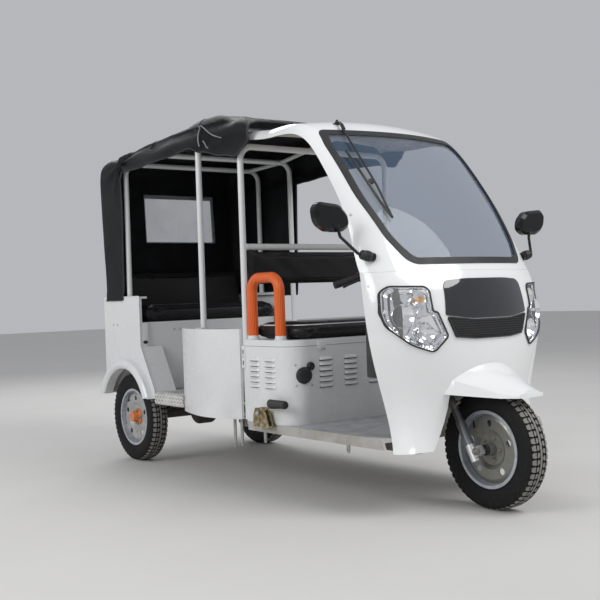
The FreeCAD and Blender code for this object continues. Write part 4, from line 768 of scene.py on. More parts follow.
def stood_on(points, shape, finish):
    """Ends a tree with one copy of a shape on each point, standing the way its aim says."""
    aim = points.out("GeometryNodeInputNamedAttribute", {"data_type": "FLOAT_VECTOR"}, Name="aim")
    turned_to = points.out("FunctionNodeAlignRotationToVector", {"axis": "Z"}, Vector=aim)
    copies = points.out("GeometryNodeInstanceOnPoints", Points=points, Instance=shape, Rotation=turned_to)
    return ended(copies, finish)


sizes = growth(
    "screws along a seam",
    ("Head radius", "Float", 0.006),
    ("Head height", "Float", 0.0024),
    ("Finish", "Material", screw_steel),
)
geometry = sizes["Geometry"]
head = geometry.out("GeometryNodeMeshUVSphere", {}, Segments=14, Rings=7, Radius=sizes["Head radius"])
flat = geometry.out("ShaderNodeCombineXYZ", X=1.0, Y=1.0, Z=sizes["Head height"] / sizes["Head radius"])
head = geometry.out("GeometryNodeTransform", {}, Geometry=head, Scale=flat)
washer_radius, washer_depth = sizes["Head radius"] * 1.35, sizes["Head height"] * 0.5
washer = geometry.out("GeometryNodeMeshCylinder", Vertices=18, Radius=washer_radius, Depth=washer_depth)
pair = geometry.tree.nodes.new("GeometryNodeJoinGeometry")
for made in (head, washer):
    geometry.tree.links.new(made.socket, pair.inputs[0])
screw_tree = stood_on(geometry, Sock(geometry.tree, pair.outputs[0]), sizes["Finish"])


def seats_of(name, seats):
    """Bare points at (spot, normal) pairs, each with the way its screw stands."""
    mesh = bpy.data.meshes.new(name)
    mesh.from_pydata([tuple(spot) for spot, _ in seats], [], [])
    aims = mesh.attributes.new("aim", "FLOAT_VECTOR", "POINT")
    aims.data.foreach_set("vector", [part for _, aim in seats for part in aim])
    piece = bpy.data.objects.new(name, mesh)
    bpy.context.scene.collection.objects.link(piece)
    return piece


def screwed(name, body, seats, finish=screw_steel, radius=0.006, height=0.0024):
    """Domed screws on washers at (spot, normal) pairs."""
    piece = seats_of(name, seats)
    grown(piece, screw_tree, Head_radius=radius, Head_height=height, Finish=finish)
    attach(piece, body)
    return piece


fairing_skin, hood_skin = felt(nodes["cab_fairing"]), felt(nodes["cab_hood"])
seats = []
for side in (-1, 1):
    for z in (0.345, 0.45, 0.60, 0.74, 0.985):
        seats.append(pressed_on(fairing_skin, (AHEAD - 0.215, side * 0.9, z), (0, -side, 0)))
    for back, z in ((0.235, 1.115), (0.348, 1.30)):
        seats.append(pressed_on(hood_skin, (AHEAD - back, side * 0.9, z), (0, -side, 0)))
screwed("shell_screws", "chassis", [seat for seat in seats if seat[0]], radius=0.0050)

# Headlamps: a black gasket in the fairing's opening, a faceted plated bowl with two round
# reflectors and a turn lamp, their bulbs, and one clear moulded lens over them all.
LAMP_OUTLINE = (
    # out from the middle plane, height, how far its corner is rounded
    (0.241, 0.762, 0.012), (0.300, 0.697, 0.020), (0.400, 0.732, 0.040),
    (0.484, 0.806, 0.036), (0.499, 0.870, 0.030), (0.490, 0.984, 0.034),
    (0.307, 0.978, 0.024), (0.306, 0.872, 0.010), (0.286, 0.868, 0.008),
)
LENS_STEPS = (
    # share of the way out to the outline, how far proud of the lamp's face
    (0.982, -0.004), (0.978, 0.0), (0.95, 0.0012), (0.8, 0.0022),
    (0.6, 0.003), (0.4, 0.0034), (0.2, 0.0036), (0.01, 0.0036),
)
BOWL_STEPS = (
    # share of the way out to the outline, how far behind the lamp's face
    (0.975, 0.004), (0.955, 0.006), (0.93, 0.020), (0.86, 0.026),
    (0.80, 0.040), (0.55, 0.044), (0.30, 0.052), (0.01, 0.050),
)
BULB = (
    (-0.026, 0.0050), (-0.016, 0.0058), (-0.008, 0.0080),
    (-0.002, 0.0072), (0.0015, 0.0030), (0.0020, 0.0003),
)
LAMP_BOWLS = (
    # out, height, radius, how far its rim lies behind the lens
    (0.4280, 0.8550, 0.0520, 0.016), (0.3360, 0.7750, 0.0420, 0.014), (0.3560, 0.9250, 0.0360, 0.014),
)
plated, shader, place = finish_of("vacuum plated reflector")
plug(
    shader,
    Base_Color=place.grain(25, 3).mix((0.80, 0.81, 0.83), (0.92, 0.93, 0.95)),
    Metallic=1.0,
    Roughness=place.grain(60, 3) * 0.08 + 0.06,
    Normal=place.grain(90, 2).relief(0.25, 0.0015),
)
lens_clear, shader, place = finish_of("clear moulded lens")
plug(
    shader,
    Base_Color=(0.82, 0.86, 0.88),
    Roughness=0.04,
    Alpha=0.16,
    Coat_Weight=1.0,
    Normal=place.grain(14, 2).relief(0.05, 0.001),
)
bulb_glass, shader, place = finish_of("frosted bulb glass")
plug(shader, Base_Color=(0.78, 0.80, 0.82), Roughness=place.grain(60, 2) * 0.1 + 0.15, Coat_Weight=0.6)
amber, shader, place = finish_of("amber bulb glass")
plug(shader, Base_Color=place.grain(40, 2).mix((0.80, 0.33, 0.03), (0.88, 0.42, 0.05)), Roughness=0.15)


def domed(loops):
    """Loops joined one to the next, with a face over the last of them only."""
    spots, faces = rings(loops, True, False)
    return spots, faces + [tuple(range(len(spots) - len(loops[-1]), len(spots)))]


for side, node in ((-1, "headlight_right"), (1, "headlight_left")):
    skin = felt(nodes[node])
    flat = [(0, side * y, z) for y, z, _ in LAMP_OUTLINE]
    outline = rounded(flat, [bend for _, _, bend in LAMP_OUTLINE], 5, closed=True)
    count = len(outline)
    middle = Vector((0, sum(p.y for p in outline) / count, sum(p.z for p in outline) / count))

    def on_lens(spot, share, back=0.0):
        """Spot of the lamp's face at a share of the way from its middle to its outline, set back."""
        face = None
        while face is None:
            at = middle + (spot - middle) * share
            face, normal = pressed_on(skin, (2.0, at.y, at.z), (-1, 0, 0))
            share -= 0.006
        return face - normal * back

    edge = [on_lens(p, 0.988) - Vector((0.0012, 0, 0)) for p in outline]
    gasket = Form().add(*piped(edge, 0.0042, 10, closed=True))
    gasket = gasket.made("lamp_gasket_" + node[10:], seal_black, smooth=60, weld=0.00001)
    lens = Form().add(*domed([[on_lens(p, share, -proud) for p in outline] for share, proud in LENS_STEPS]))
    lens = lens.made("lamp_lens_" + node[10:], lens_clear, smooth=50)
    loops = []
    for share, back in BOWL_STEPS:
        loop = []
        for k, p in enumerate(outline):
            crease = 0.007 * noise.noise(Vector((k * 0.9, share * 7, side * 3.0))) if back > 0.01 else 0.0
            loop.append(on_lens(p, share, back + crease))
        loops.append(loop)
    bowl = Form().add(*domed(loops))
    for number, (y, z, radius, back) in enumerate(LAMP_BOWLS):
        face, normal = pressed_on(skin, (2.0, side * y, z), (-1, 0, 0))
        aim = (normal * 0.55 + Vector((1, 0, 0)) * 0.45).normalized()
        place = facing(face - normal * back - aim * 0.004, aim)
        curve = [(0.004, radius), (0.0052, radius * 0.985)]
        for k in range(7, -1, -1):
            width = radius * (0.98 * k / 8) + 0.0045 * (1 - k / 8)
            curve.append((0.0052 - 0.030 * (1 - (k / 8) ** 2), width))
        bowl.add(*turned(curve, place, 28, capped=False))
        bowl.add(*turned(BULB, place, 16, capped=False), kind=2 if number == 2 else 1)
    bowl = bowl.made("lamp_bowl_" + node[10:], plated, bulb_glass, amber, smooth=22, turn_out=False)
    for piece in (gasket, lens, bowl):
        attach(piece, "chassis")
    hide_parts(node)
    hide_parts(node)

# Grille and nose panel: below, a black honeycomb grille in a thin rim; above it a smooth panel of
# gloss black plastic that takes up the nose as far as the windshield.
GRILLE_CELL = 0.0115
grille_black = paint("black grille plastic", (0.034, 0.035, 0.037), 0.26, dust=0.05, low=0.5, high=1.2)
dress(paint("deep grille shadow", (0.003, 0.003, 0.0035), 0.7, dust=0.0), "grille")
gloss_nose, shader, place = finish_of("gloss black nose")
swirl = place.grain(30, 4)
plug(
    shader,
    Base_Color=swirl.mix((0.006, 0.006, 0.008), (0.014, 0.015, 0.018)),
    Roughness=swirl * 0.05 + 0.03,
    Coat_Weight=1.0,
    Normal=place.grain(3.5, 1).relief(0.05, 0.004),
)
dress(gloss_nose, "nose_panel")
sizes = growth(
    "honeycomb cells",
    ("Cell radius", "Float", 0.0060),
    ("Bar width", "Float", 0.0011),
    ("Finish", "Material", grille_black),
)
geometry = sizes["Geometry"]
ring, bar = [
    geometry.out("GeometryNodeCurvePrimitiveCircle", Resolution=sides, Radius=sizes[label])
    for sides, label in ((6, "Cell radius"), (5, "Bar width"))
]
cell = geometry.out("GeometryNodeCurveToMesh", Curve=ring, Profile_Curve=bar)
cell_tree = stood_on(geometry, cell, sizes["Finish"])
skin = felt(nodes["grille"])
seats = []
for row in range(-1, 12):
    for k in range(-24, 25):
        y, z = (k + 0.5 * (row % 2)) * GRILLE_CELL, 0.752 + row * GRILLE_CELL * 0.866
        reach = 0.206 + (z - 0.757) * 0.45 - 0.004
        low = 0.747 + 0.010 * (abs(y) / 0.206) ** 2 + 0.005
        high = 0.832 + 0.016 * (abs(y) / 0.247) ** 2 - 0.006
        if abs(y) < reach and low < z < high:
            spot, normal = pressed_on(skin, (2.0, y, z), (-1, 0, 0))
            if spot:
                seats.append((spot + normal * 0.0004, normal))
cells = grown(seats_of("grille_cells", seats), cell_tree)
corners = [(0.206, 0.757), (0.110, 0.7485), (0, 0.7475), (-0.110, 0.7485), (-0.206, 0.757), (-0.247, 0.848)]
corners += [(-0.120, 0.8325), (0, 0.8305), (0.120, 0.8325), (0.247, 0.848)]
corners = [(0, y * 0.982, z + (0.0022 if z < 0.8 else -0.0022)) for y, z in corners]
path = rounded(corners, 0.012, 5, closed=True)
rim_path = []
for p, q in zip(path, path[1:] + path[:1]):
    for t in (0, 0.5):
        at = p.lerp(q, t)
        spot, normal = pressed_on(skin, (2.0, at.y, at.z), (-1, 0, 0))
        if spot:
            rim_path.append(spot)
rim = Form().add(*piped(rim_path, 0.0024, 8, closed=True))
rim = rim.made("grille_rim", grille_black, smooth=50, weld=0.00001)
for piece in (cells, rim):
    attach(piece, "chassis")

# Windshield: one sheet of glass, faintly tinted, in a black rubber seal with a rolled outer lip; a
# long wiper arm hangs from its spindle on the hood and presses the blade on the glass.
dress(seal_black, "windshield_seal")
shield, shader, place = finish_of("tinted windshield glass")
plug(
    shader,
    Base_Color=(0.10, 0.155, 0.24),
    Roughness=place.grain(2.5, 4) * 0.03 + 0.01,
    Alpha=0.34,
    Coat_Weight=0.1,
    Normal=place.grain(1.2, 1).relief(0.02, 0.004),
)
dress(shield, "windshield_glass")
wiper_black = paint("satin black wiper", (0.014, 0.014, 0.015), 0.35, dust=0.1, low=1.2, high=2.0)
dress(wiper_black, "wiper")
hinge = Form()
pivot, normal = pressed_on(hood_skin, (AHEAD - 0.684, -0.266, 2.2), (0, 0, -1))
post = facing(pivot - normal * 0.002, normal)
hinge.add(*turned(((0, 0.019), (0.004, 0.019), (0.006, 0.0165), (0.0065, 0.0105)), post, 28))
hinge.add(*turned(((0.0065, 0.0098), (0.016, 0.0098), (0.0175, 0.008)), post, 6))
hinge.add(*turned(((0.0175, 0.005), (0.023, 0.005), (0.024, 0.004)), post, 14))
elbow = facing((AHEAD - 0.604, -0.296, 1.738), Vector((-0.604 + 0.538, -0.296 + 0.320, 1.738 - 1.676)))
hinge.add(*turned(((-0.020, 0.0070), (-0.018, 0.0088), (0.018, 0.0088), (0.020, 0.0070)), elbow, 16))
middle = Vector((AHEAD - 0.357, -0.3465, 1.4530))
yoke = facing(middle, Vector((0.1, 0.02, -0.13)))
hinge.add(*turned(((-0.012, 0.0066), (-0.011, 0.0080), (0.011, 0.0080), (0.012, 0.0066)), yoke, 14))
hinge = hinge.made("wiper_hinge", wiper_black, smooth=40)
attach(hinge, "chassis")

# Mirrors: egg-shaped heads of glossy black plastic on a bent arm out of a rubber boot; the glass
# is set into the back of each head behind a thin lip.
BOOT_FOLDS = (
    # along the arm, radius
    (0.018, 0.0215), (0.026, 0.0215), (0.030, 0.0235), (0.034, 0.0210),
    (0.038, 0.0230), (0.042, 0.0205), (0.046, 0.0225), (0.050, 0.0198),
    (0.056, 0.0210), (0.0625, 0.0200), (0.068, 0.0150), (0.071, 0.0085),
)
MIRROR_OUTLINE = ((-93, -36), (-52, -62), (30, -60), (84, -30), (95, 34), (70, 64), (-40, 54), (-86, 12))
mirror_black, shader, place = finish_of("glossy black mirror shell")
haze = place.grain(20, 4)
plug(
    shader,
    Base_Color=haze.mix((0.005, 0.005, 0.006), (0.011, 0.011, 0.013)),
    Roughness=haze * 0.08 + 0.10,
    Coat_Weight=0.25,
    Specular_IOR_Level=0.2,
)
dress(mirror_black, "mirror_right", "mirror_left")
silvered, shader, place = finish_of("silvered mirror glass")
plug(shader, Base_Color=(0.80, 0.83, 0.85), Metallic=1.0, Roughness=place.grain(3, 3) * 0.03 + 0.01)
for side, name in ((-1, "right"), (1, "left")):
    middle = Vector((AHEAD - 0.3152, side * 0.634, 1.283))
    glass = Form()
    loops = []
    for share, back in ((0.90, -0.0010), (0.90, 0.0022), (0.875, 0.0034), (0.865, 0.0014)):
        scale = share / 1000
        spots = [middle + Vector((-back, side * y * scale, z * scale)) for y, z in MIRROR_OUTLINE]
        loops.append(rounded(spots, 0.032, 6, closed=True))
    glass.add(*rings(loops, True, False), kind=0)
    glass.add(loops[-1], [tuple(range(len(loops[-1])))], kind=1)
    glass = glass.made("mirror_glass_" + name, mirror_black, silvered, smooth=30, weld=0.00001)
    boot = Form()
    start, end = Vector((AHEAD - 0.214, side * 0.470, 1.108)), Vector((AHEAD - 0.222, side * 0.548, 1.124))
    sleeve = facing(start, end - start)
    boot.add(*turned(BOOT_FOLDS, sleeve, 28))
    joint = facing((AHEAD - 0.283, side * 0.6105, 1.250), (0.008, -side * 0.012, -0.062))
    boot.add(*turned(((-0.020, 0.0100), (-0.018, 0.0125), (0.010, 0.0118), (0.014, 0.0092)), joint, 20))
    boot = boot.made("mirror_boot_" + name, seal_black, smooth=40)
    for piece, slot in ((glass, "gloss_black"), (boot, "seal_rubber")):
        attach(piece, "chassis")

# Tubes: the driver's hoop and the canopy's bows are round steel tube, bent, welded and painted
# gloss white. Welds stand proud where tubes meet; the rear bow's feet are screwed to the body.
tube_white = paint("gloss white tube paint", (0.78, 0.79, 0.79), 0.2, dust=0.1, peel=0.12, Coat_Weight=0.3)
dress(tube_white, "driver_hoop", "canopy_frame")


def slab(low, high, edge=0.001, place=Matrix()):
    """Block with rounded-off edges between two corners, then set at a place."""
    work = bmesh.new()
    bmesh.ops.create_cube(work, size=1)
    for v in work.verts:
        v.co = Vector([low[i] + (high[i] - low[i]) * (v.co[i] + 0.5) for i in range(3)])
    bmesh.ops.bevel(work, geom=work.edges[:], offset=edge, segments=2, affect="EDGES", profile=0.6)
    work.verts.index_update()
    spots = [place @ v.co for v in work.verts]
    faces = [[v.index for v in face.verts] for face in work.faces]
    work.free()
    return spots, faces


HOOP, REAR_BOW, MIDDLE_BOW, FRONT_BOW = AHEAD - 1.195, AHEAD - 2.452, AHEAD - 2.099, AHEAD - 1.53
TUBE_RADIUS, RAIL_SIDE = 0.016, 0.416
BOW_FOOT, POST_FOOT = 0.9893, 0.8044
welds = Form()
for side in (-1, 1):
    joints = [((HOOP, side * 0.4685, 1.213), (0, side, 0), 0.0165)]
    for bow, z in ((REAR_BOW, 1.789), (MIDDLE_BOW, 1.800)):
        joints.append(((bow + TUBE_RADIUS, side * RAIL_SIDE, z), (1, 0, 0.05), 0.0135))
    joints.append(((FRONT_BOW - TUBE_RADIUS, side * RAIL_SIDE, 1.870), (1, 0, 0.1), 0.0135))
    for spot, aim, radius in joints:
        bead = [(0.004 * math.cos(t), radius + 0.0026 * math.sin(t)) for t in (math.pi, 2.4, 1.57, 0.75, 0)]
        welds.add(*turned(bead, facing(spot, aim), 28, capped=False))
    inner, outer = sorted((side * 0.4668, side * 0.5185))
    welds.add(*slab((REAR_BOW - 0.036, inner, 0.9854), (REAR_BOW + 0.036, outer, BOW_FOOT), 0.0012))
    cuff = facing((REAR_BOW, side * 0.484, BOW_FOOT), (0, 0, 1))
    welds.add(*turned(((0, 0.0200), (0.0015, 0.0188), (0.0040, 0.0165)), cuff, 28, capped=False))
door_x = AHEAD - 1.602
welds.add(*slab((door_x - 0.030, -0.5180, 0.8004), (door_x + 0.030, -0.4680, POST_FOOT), 0.0012))
welds = welds.made("tube_welds", tube_white, smooth=50)
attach(welds, "chassis")
seats = [
    ((REAR_BOW + dx, side * 0.507, BOW_FOOT), (0, 0, 1)) for side in (-1, 1) for dx in (-0.026, 0.026)
]
seats += [((door_x + dx, -0.507, POST_FOOT), (0, 0, 1)) for dx in (-0.021, 0.021)]
screwed("bow_foot_screws", "chassis", seats, radius=0.0045)

# Body panels: folded steel sheet, welded and sprayed white: sides with wheel flares, tail panel,
# the bowed half panel beside the passengers, and the driver's seat box with its lid.
def panel_paint(name):
    """White enamel over folded sheet, dusty low down."""
    enamel = (0.805, 0.815, 0.82)
    return paint(name, enamel, 0.22, dust=0.26, peel=0.16, low=0.30, high=0.85, Coat_Weight=0.25)


def below(material, height, colour):
    """Paint that gives way to dull grey primer below a height."""
    tree = material.node_tree
    shader = tree.nodes["Principled BSDF"]
    painted = Sock(tree, shader.inputs["Base Color"].links[0].from_socket)
    place = Sock(tree, next(n for n in tree.nodes if n.type == "TEX_COORD").outputs["Object"])
    bare = 1 - place.part("z").step(height - 0.001, height + 0.001)
    primer = place.grain(60, 4).mix(tuple(v * 0.7 for v in colour), colour)
    plug(shader, Base_Color=bare.mix(painted, primer))
    return material


BARE_STEEL = (0.36, 0.36, 0.34)
panel_white = panel_paint("white sheet paint")
BODY = ("rear_side_right", "rear_side_left", "tail_panel", "half_panel_right", "half_panel_left")
dress(panel_white, *BODY, "driver_seat_box", "driver_seat_lid", "rear_seat_box")
dress(below(panel_paint("white sheet paint with bare tabs"), 0.3435, BARE_STEEL), "half_panel_right")

sizes = growth("copies on their seats", ("Piece", "Object", None), ("Finish", "Material", panel_white))
geometry = sizes["Geometry"]
piece = geometry.out("GeometryNodeObjectInfo", {}, "Geometry", Object=sizes["Piece"])
turn = geometry.out("GeometryNodeInputNamedAttribute", {"data_type": "FLOAT_VECTOR"}, Name="aim")
copies = geometry.out("GeometryNodeInstanceOnPoints", Points=geometry, Instance=piece, Rotation=turn)
copy_tree = ended(copies, sizes["Finish"])


def set_out(name, pattern, places, finish, body):
    """Copies of a pattern piece, one at each place; the pattern goes."""
    piece = seats_of(name, [(place.translation, place.to_euler()) for place in places])
    grown(piece, copy_tree, Piece=pattern, Finish=finish)
    bpy.data.objects.remove(pattern)
    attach(piece, body)
    return piece


def framed(spot, along, out_of):
    """Place whose X axis runs along one way and whose Z axis stands out another."""
    x, z = Vector(along).normalized(), Vector(out_of).normalized()
    turn = Matrix((x, z.cross(x), z)).transposed().to_4x4()
    return Matrix.Translation(spot) @ turn


def lip_round(side):
    """Rounded crown pressed into a rear wheel flare, between its opening and its outer edge."""
    loops = []
    for k in range(49):
        angle = math.radians(21.5 + 136 * k / 48)
        loop = []
        for t in range(11):
            share = t / 10
            radius = 0.2752 + 0.0546 * share
            lift = 0.0008 + 0.0155 * math.sin(math.pi * share) ** 0.8
            x = REAR_AXLE + math.cos(angle) * radius
            z = max(0.3935, 0.282 + math.sin(angle) * radius)
            loop.append((max(-1.4752, x), side * (0.556 + lift), z))
        loop.append((loop[-1][0], side * 0.5562, loop[-1][2]))
        loop.append((loop[0][0], side * 0.5562, loop[0][2]))
        loops.append(loop)
    return rings(loops)


for side, name in ((-1, "right"), (1, "left")):
    lip = Form().add(*lip_round(side)).made("flare_crown_" + name, panel_white, smooth=40)
    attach(lip, "chassis")

edges = Form()
top_z, edge_x = 0.9856, AHEAD - 2.272
for side in (-1, 1):
    y = side * 0.5185
    path = [(-1.4735, y, top_z), (edge_x, y, top_z), (edge_x, y, 0.690), (AHEAD - 2.1165, y, 0.4355)]
    edges.add(*piped(rounded(path, 0.008, 4), 0.0042, 10))
for side in (-1, 1):
    inner, outer = sorted((side * 0.4640, side * 0.5016))
    edges.add(*slab((edge_x - 0.0100, inner, 0.6884), (edge_x + 0.0004, outer, 0.8316), 0.0012))
plug_y = -0.484
plug_seat = facing((edge_x + 0.0002, plug_y, 0.715), (1, 0, 0))
spots, faces = turned(((0, 0.0100), (0.0018, 0.0100), (0.0022, 0.0088)), plug_seat, 28)
edges.add([(x, plug_y + (y - plug_y) * 1.55, z) for x, y, z in spots], faces, kind=1)
edges = edges.made("side_edge_rolls", panel_white, seal_black, smooth=50)
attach(edges, "chassis")

TAIL_SKIN = AHEAD - 2.7351
seats = [((TAIL_SKIN, side * 0.478, z), (-1, 0, 0)) for side in (-1, 1) for z in (0.45, 0.62, 0.80, 0.93)]
seats += [((-1.354 + 0.05 * k, -0.5203, 0.817), (0, -1, 0)) for k in (0, 1)]
seats += [((AHEAD - 2.2896, y, 0.783), (1, 0, 0)) for y in (-0.277, -0.237)]
screwed("body_screws", "chassis", seats, radius=0.0046)

# Driver's seat box: louvres pressed out over its slots, a lid with a thin black bead along its seam
# as painted shadow of the gap under it, and a hasp, black filler cap with its lock and four screws on
# the corner, and a slotted bracket.
def louvre(half, deep):
    """Hood of one louvre, pressed out of sheet: closed at its ends and top, open below."""
    loops = []
    for k in range(15):
        along = -1 + 2 * k / 14
        rise = max(0.0, 1 - along**4) ** 0.45
        loop = []
        for t in range(7):
            share = t / 6
            out = 0.0004 + deep * rise * math.sin(share * math.pi / 2)
            loop.append((along * half, 0.0120 - 0.0155 * share, out))
        loops.append(loop)
    hood = Form().add(*rings(loops, False, False))
    hood = hood.made("louvre_pattern", panel_white, smooth=60, turn_out=False)
    hood.modifiers.new("gauge", "SOLIDIFY").thickness = 0.0012
    return hood


BOX_FRONT = AHEAD - 0.800
levels = [0.5185 + level * 0.026 for level in range(6)]
places = [
    framed((AHEAD - back, side * 0.505, z), (-side, 0, 0), (0, side, 0))
    for z in levels
    for back in (1.099, 0.964)
    for side in (-1, 1)
]
set_out("side_louvres", louvre(0.0450, 0.0115), places, panel_white, "chassis")
places = [
    framed((BOX_FRONT, across + 0.041, z), (0, 1, 0), (1, 0, 0))
    for z in levels
    for across in (-0.330, -0.175, -0.020)
]
set_out("front_louvres", louvre(0.0385, 0.0085), places, panel_white, "chassis")

# foam gathers the box's fittings; its first part is no foam but a thin black bead, painted shadow in the
# lid's seam.
foam = Form()
half, corner, rear = 0.505, 0.110, HOOP + 0.020
arc = []
for k in range(12, -1, -1):
    angle = math.pi / 2 * k / 12
    arc.append((BOX_FRONT - corner + corner * math.cos(angle), -half + corner - corner * math.sin(angle)))
run = [(rear, -half)] + arc + [(x, -y) for x, y in reversed(arc)] + [(rear, half)]
# Painted shadow: a black bead along the lid's seam, standing in for the shade in the gap.
foam.add(*piped([(x, y, 0.7161) for x, y in run], 0.0016, 6), kind=0)
hasp = framed((BOX_FRONT + 0.0006, -0.313, 0.7185), (0, 1, 0), (1, 0, 0))
foam.add(*slab((-0.026, -0.019, 0), (0.026, 0.022, 0.0032), 0.0014, hasp), kind=1)
bail = ((-0.016, -0.012, 0.004), (-0.016, -0.022, 0.009), (0.016, -0.022, 0.009), (0.016, -0.012, 0.004))
foam.add(*piped([hasp @ Vector(p) for p in bail], 0.0028, 10), kind=2)
strap = framed((HOOP + 0.004, -0.5045, 0.660), (0, 0, 1), (0, -1, 0))
foam.add(*slab((-0.055, -0.0145, 0), (0.055, 0.0145, 0.0040), 0.0016, strap), kind=1)
for start, end in ((-0.040, -0.018), (0.014, 0.036)):
    foam.add(*slab((start, -0.0045, 0.0036), (end, 0.0045, 0.0044), 0.0003, strap), kind=0)
for start, end in ((-0.050, -0.034), (0.034, 0.050)):
    foam.add(*slab((start, -0.0145, -0.006), (end, 0.0145, 0.0002), 0.0006, strap), kind=1)
foam = foam.made("seat_box_fittings", seal_black, panel_white, screw_steel, smooth=35)
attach(foam, "chassis")
seats = [
    # place, the way its head faces
    ((AHEAD - 0.8196, -0.4576, 0.628), (0.822, -0.569, 0)),
    ((AHEAD - 0.8185, -0.4560, 0.529), (0.83, -0.555, 0)),
    ((BOX_FRONT, -0.378, 0.528), (1, 0, 0)),
    (strap @ Vector((0.0, 0, 0.0040)), (0, -1, 0)),
]
screwed("seat_box_screws", "chassis", seats, radius=0.0045)

filler = Form()
mouth = facing((BOX_FRONT - corner, -half + corner, 0.577), (0.97, -0.24, 0))
cap = (
    (0.1060, 0.0395), (0.1125, 0.0405), (0.1150, 0.0385), (0.1160, 0.0372), (0.1235, 0.0366),
    (0.1262, 0.0340), (0.1285, 0.0260), (0.1298, 0.0140), (0.1302, 0.0003),
)
filler.add(*turned(cap, mouth, 48))
for k in range(18):
    rib = mouth @ Matrix.Rotation(2 * math.pi * k / 18, 4, "Z")
    filler.add(*slab((0.0362, -0.0016, 0.1165), (0.0386, 0.0016, 0.1235), 0.0006, rib))
lock = facing((BOX_FRONT, -0.386, 0.619), (1, 0, 0))
barrel = (
    (0.0003, 0.0208), (0.0040, 0.0208), (0.0060, 0.0188), (0.0150, 0.0182),
    (0.0172, 0.0160), (0.0172, 0.0075), (0.0158, 0.0070), (0.0158, 0.0003),
)
filler.add(*turned(barrel, lock, 36))
filler.add(*slab((-0.0012, -0.0050, 0.0150), (0.0012, 0.0050, 0.0162), 0.0003, lock), kind=1)
filler = filler.made("fuel_filler", moulded, screw_steel, smooth=35)
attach(filler, "chassis")
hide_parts("filler_cap")

# Floors: steel sheet in light grey paint, pressed with long ridges under the driver's feet and
# covered with fluted grey matting for the passengers; the sill beside them is tread plate.
def floor_paint(name, pitch, colour):
    """Grey paint, scuffed and dusty on top, over ridges that run lengthwise; plain on the sides."""
    material, shader, place = finish_of(name)
    aim = place.out("ShaderNodeNewGeometry", port=1)
    on_top = aim.part("z").step(0.6, 0.9)
    wave = place.part("y") + place.grain(2.0, 2) * 0.02
    ridges = wave.math("SINE", wave * (2 * math.pi / pitch))
    trodden = place.grain(11, 6).step(0.35, 0.75)
    pale = tuple(c * 1.22 for c in colour)
    edge = tuple(c * k for c, k in zip(colour, (1.04, 0.97, 0.88)))
    painted = on_top.mix(trodden.mix(edge, (0.34, 0.31, 0.27)), place.grain(3, 4).mix(colour, pale))
    plug(
        shader,
        Base_Color=(trodden * on_top * 0.5).mix(painted, (0.25, 0.235, 0.21)),
        Roughness=trodden * 0.25 + 0.40,
        Normal=(ridges * on_top).relief(0.7, 0.0035),
    )
    return material


ridged = floor_paint("ridged floor paint", 0.030, (0.43, 0.45, 0.465))
dress(below(ridged, 0.2955, BARE_STEEL), "driver_floor")
dress(floor_paint("fluted floor matting", 0.014, (0.50, 0.515, 0.52)), "passenger_floor")
bolts = ((0.748, 0.322), (0.618, 0.320), (0.165, 0.316), (0.40, 0.318))
bolts = [((AHEAD - back, -0.5052, z), (0, -1, 0)) for back, z in bolts]
screwed("floor_bolts", "chassis", bolts, radius=0.0052, height=0.0034)
angles = [2 * math.pi * k / 10 for k in range(10)]
loops = [
    [(0.0125 * share * math.cos(t), 0.0034 * share * math.sin(t), lift) for t in angles]
    for share, lift in ((1.0, 0.0), (0.78, 0.0009), (0.3, 0.0013))
]
lozenge = Form().add(*rings(loops)).made("tread_pattern", panel_white, smooth=60)
SILL_REAR, SILL_FRONT, TREAD_STEP = AHEAD - 2.112, AHEAD - 1.795, 0.0175
places = []
for k in range(52):
    for row in range(3):
        x = SILL_REAR + TREAD_STEP * k + (TREAD_STEP / 2 if row % 2 else 0)
        if x < SILL_FRONT:
            lean = 0.8 if (k + row) % 2 else -0.8
            on_side = (x, -0.5182, 0.3775 + 0.0195 * row)
            places.append(framed(on_side, (math.cos(lean), 0, math.sin(lean)), (0, -1, 0)))
            if row < 2:
                on_top = (x, -0.508 + 0.018 * row, 0.4302)
                places.append(framed(on_top, (math.cos(lean), math.sin(lean), 0), (0, 0, 1)))
set_out("sill_tread", lozenge, places, panel_white, "chassis")

# Front wheel arch and dashboard: the arch is sheet in the floor's grey, edged with a black rubber
# strip; the dashboard is grained black plastic with an ignition lock and two switches.
arch_grey = floor_paint("arch paint", 0.5, (0.46, 0.475, 0.485))
dress(arch_grey, "front_wheel_arch")
dress(moulded, "dashboard")
strip = Form()
back, reach, top = AHEAD - 0.314, 0.2622, 0.5902
for y in (-reach, reach):
    path = [(back, y, 0.341), (back, y, top), (AHEAD - 0.240, y, top)]
    strip.add(*piped(rounded(path, 0.006, 4), 0.0032, 8))
strip.add(*piped([(back, -reach, top - 0.0005), (back, reach, top - 0.0005)], 0.0032, 8))
strip.add(*piped([(back - 0.0005, -reach, 0.3412), (back - 0.0005, reach, 0.3412)], 0.0028, 8))
dash_x = AHEAD - 0.3302
for y, z, radius in ((-0.22, 0.93, 0.0155), (-0.15, 0.93, 0.0100), (-0.10, 0.93, 0.0100)):
    knob = facing((dash_x, y, z), (-1, 0, 0))
    steps = ((0, 1), (0.003, 1), (0.0045, 0.8), (0.0120, 0.7), (0.0135, 0.55))
    strip.add(*turned([(along, radius * share) for along, share in steps], knob, 28), kind=1)
strip.add(*slab((dash_x - 0.0030, 0.06, 0.86), (dash_x + 0.001, 0.34, 0.98), 0.0016), kind=1)
strip.add(*slab((dash_x - 0.0110, 0.17, 0.955), (dash_x - 0.0020, 0.23, 0.967), 0.0022), kind=1)
strip = strip.made("arch_and_dash_fittings", seal_black, moulded, smooth=40)
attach(strip, "chassis")
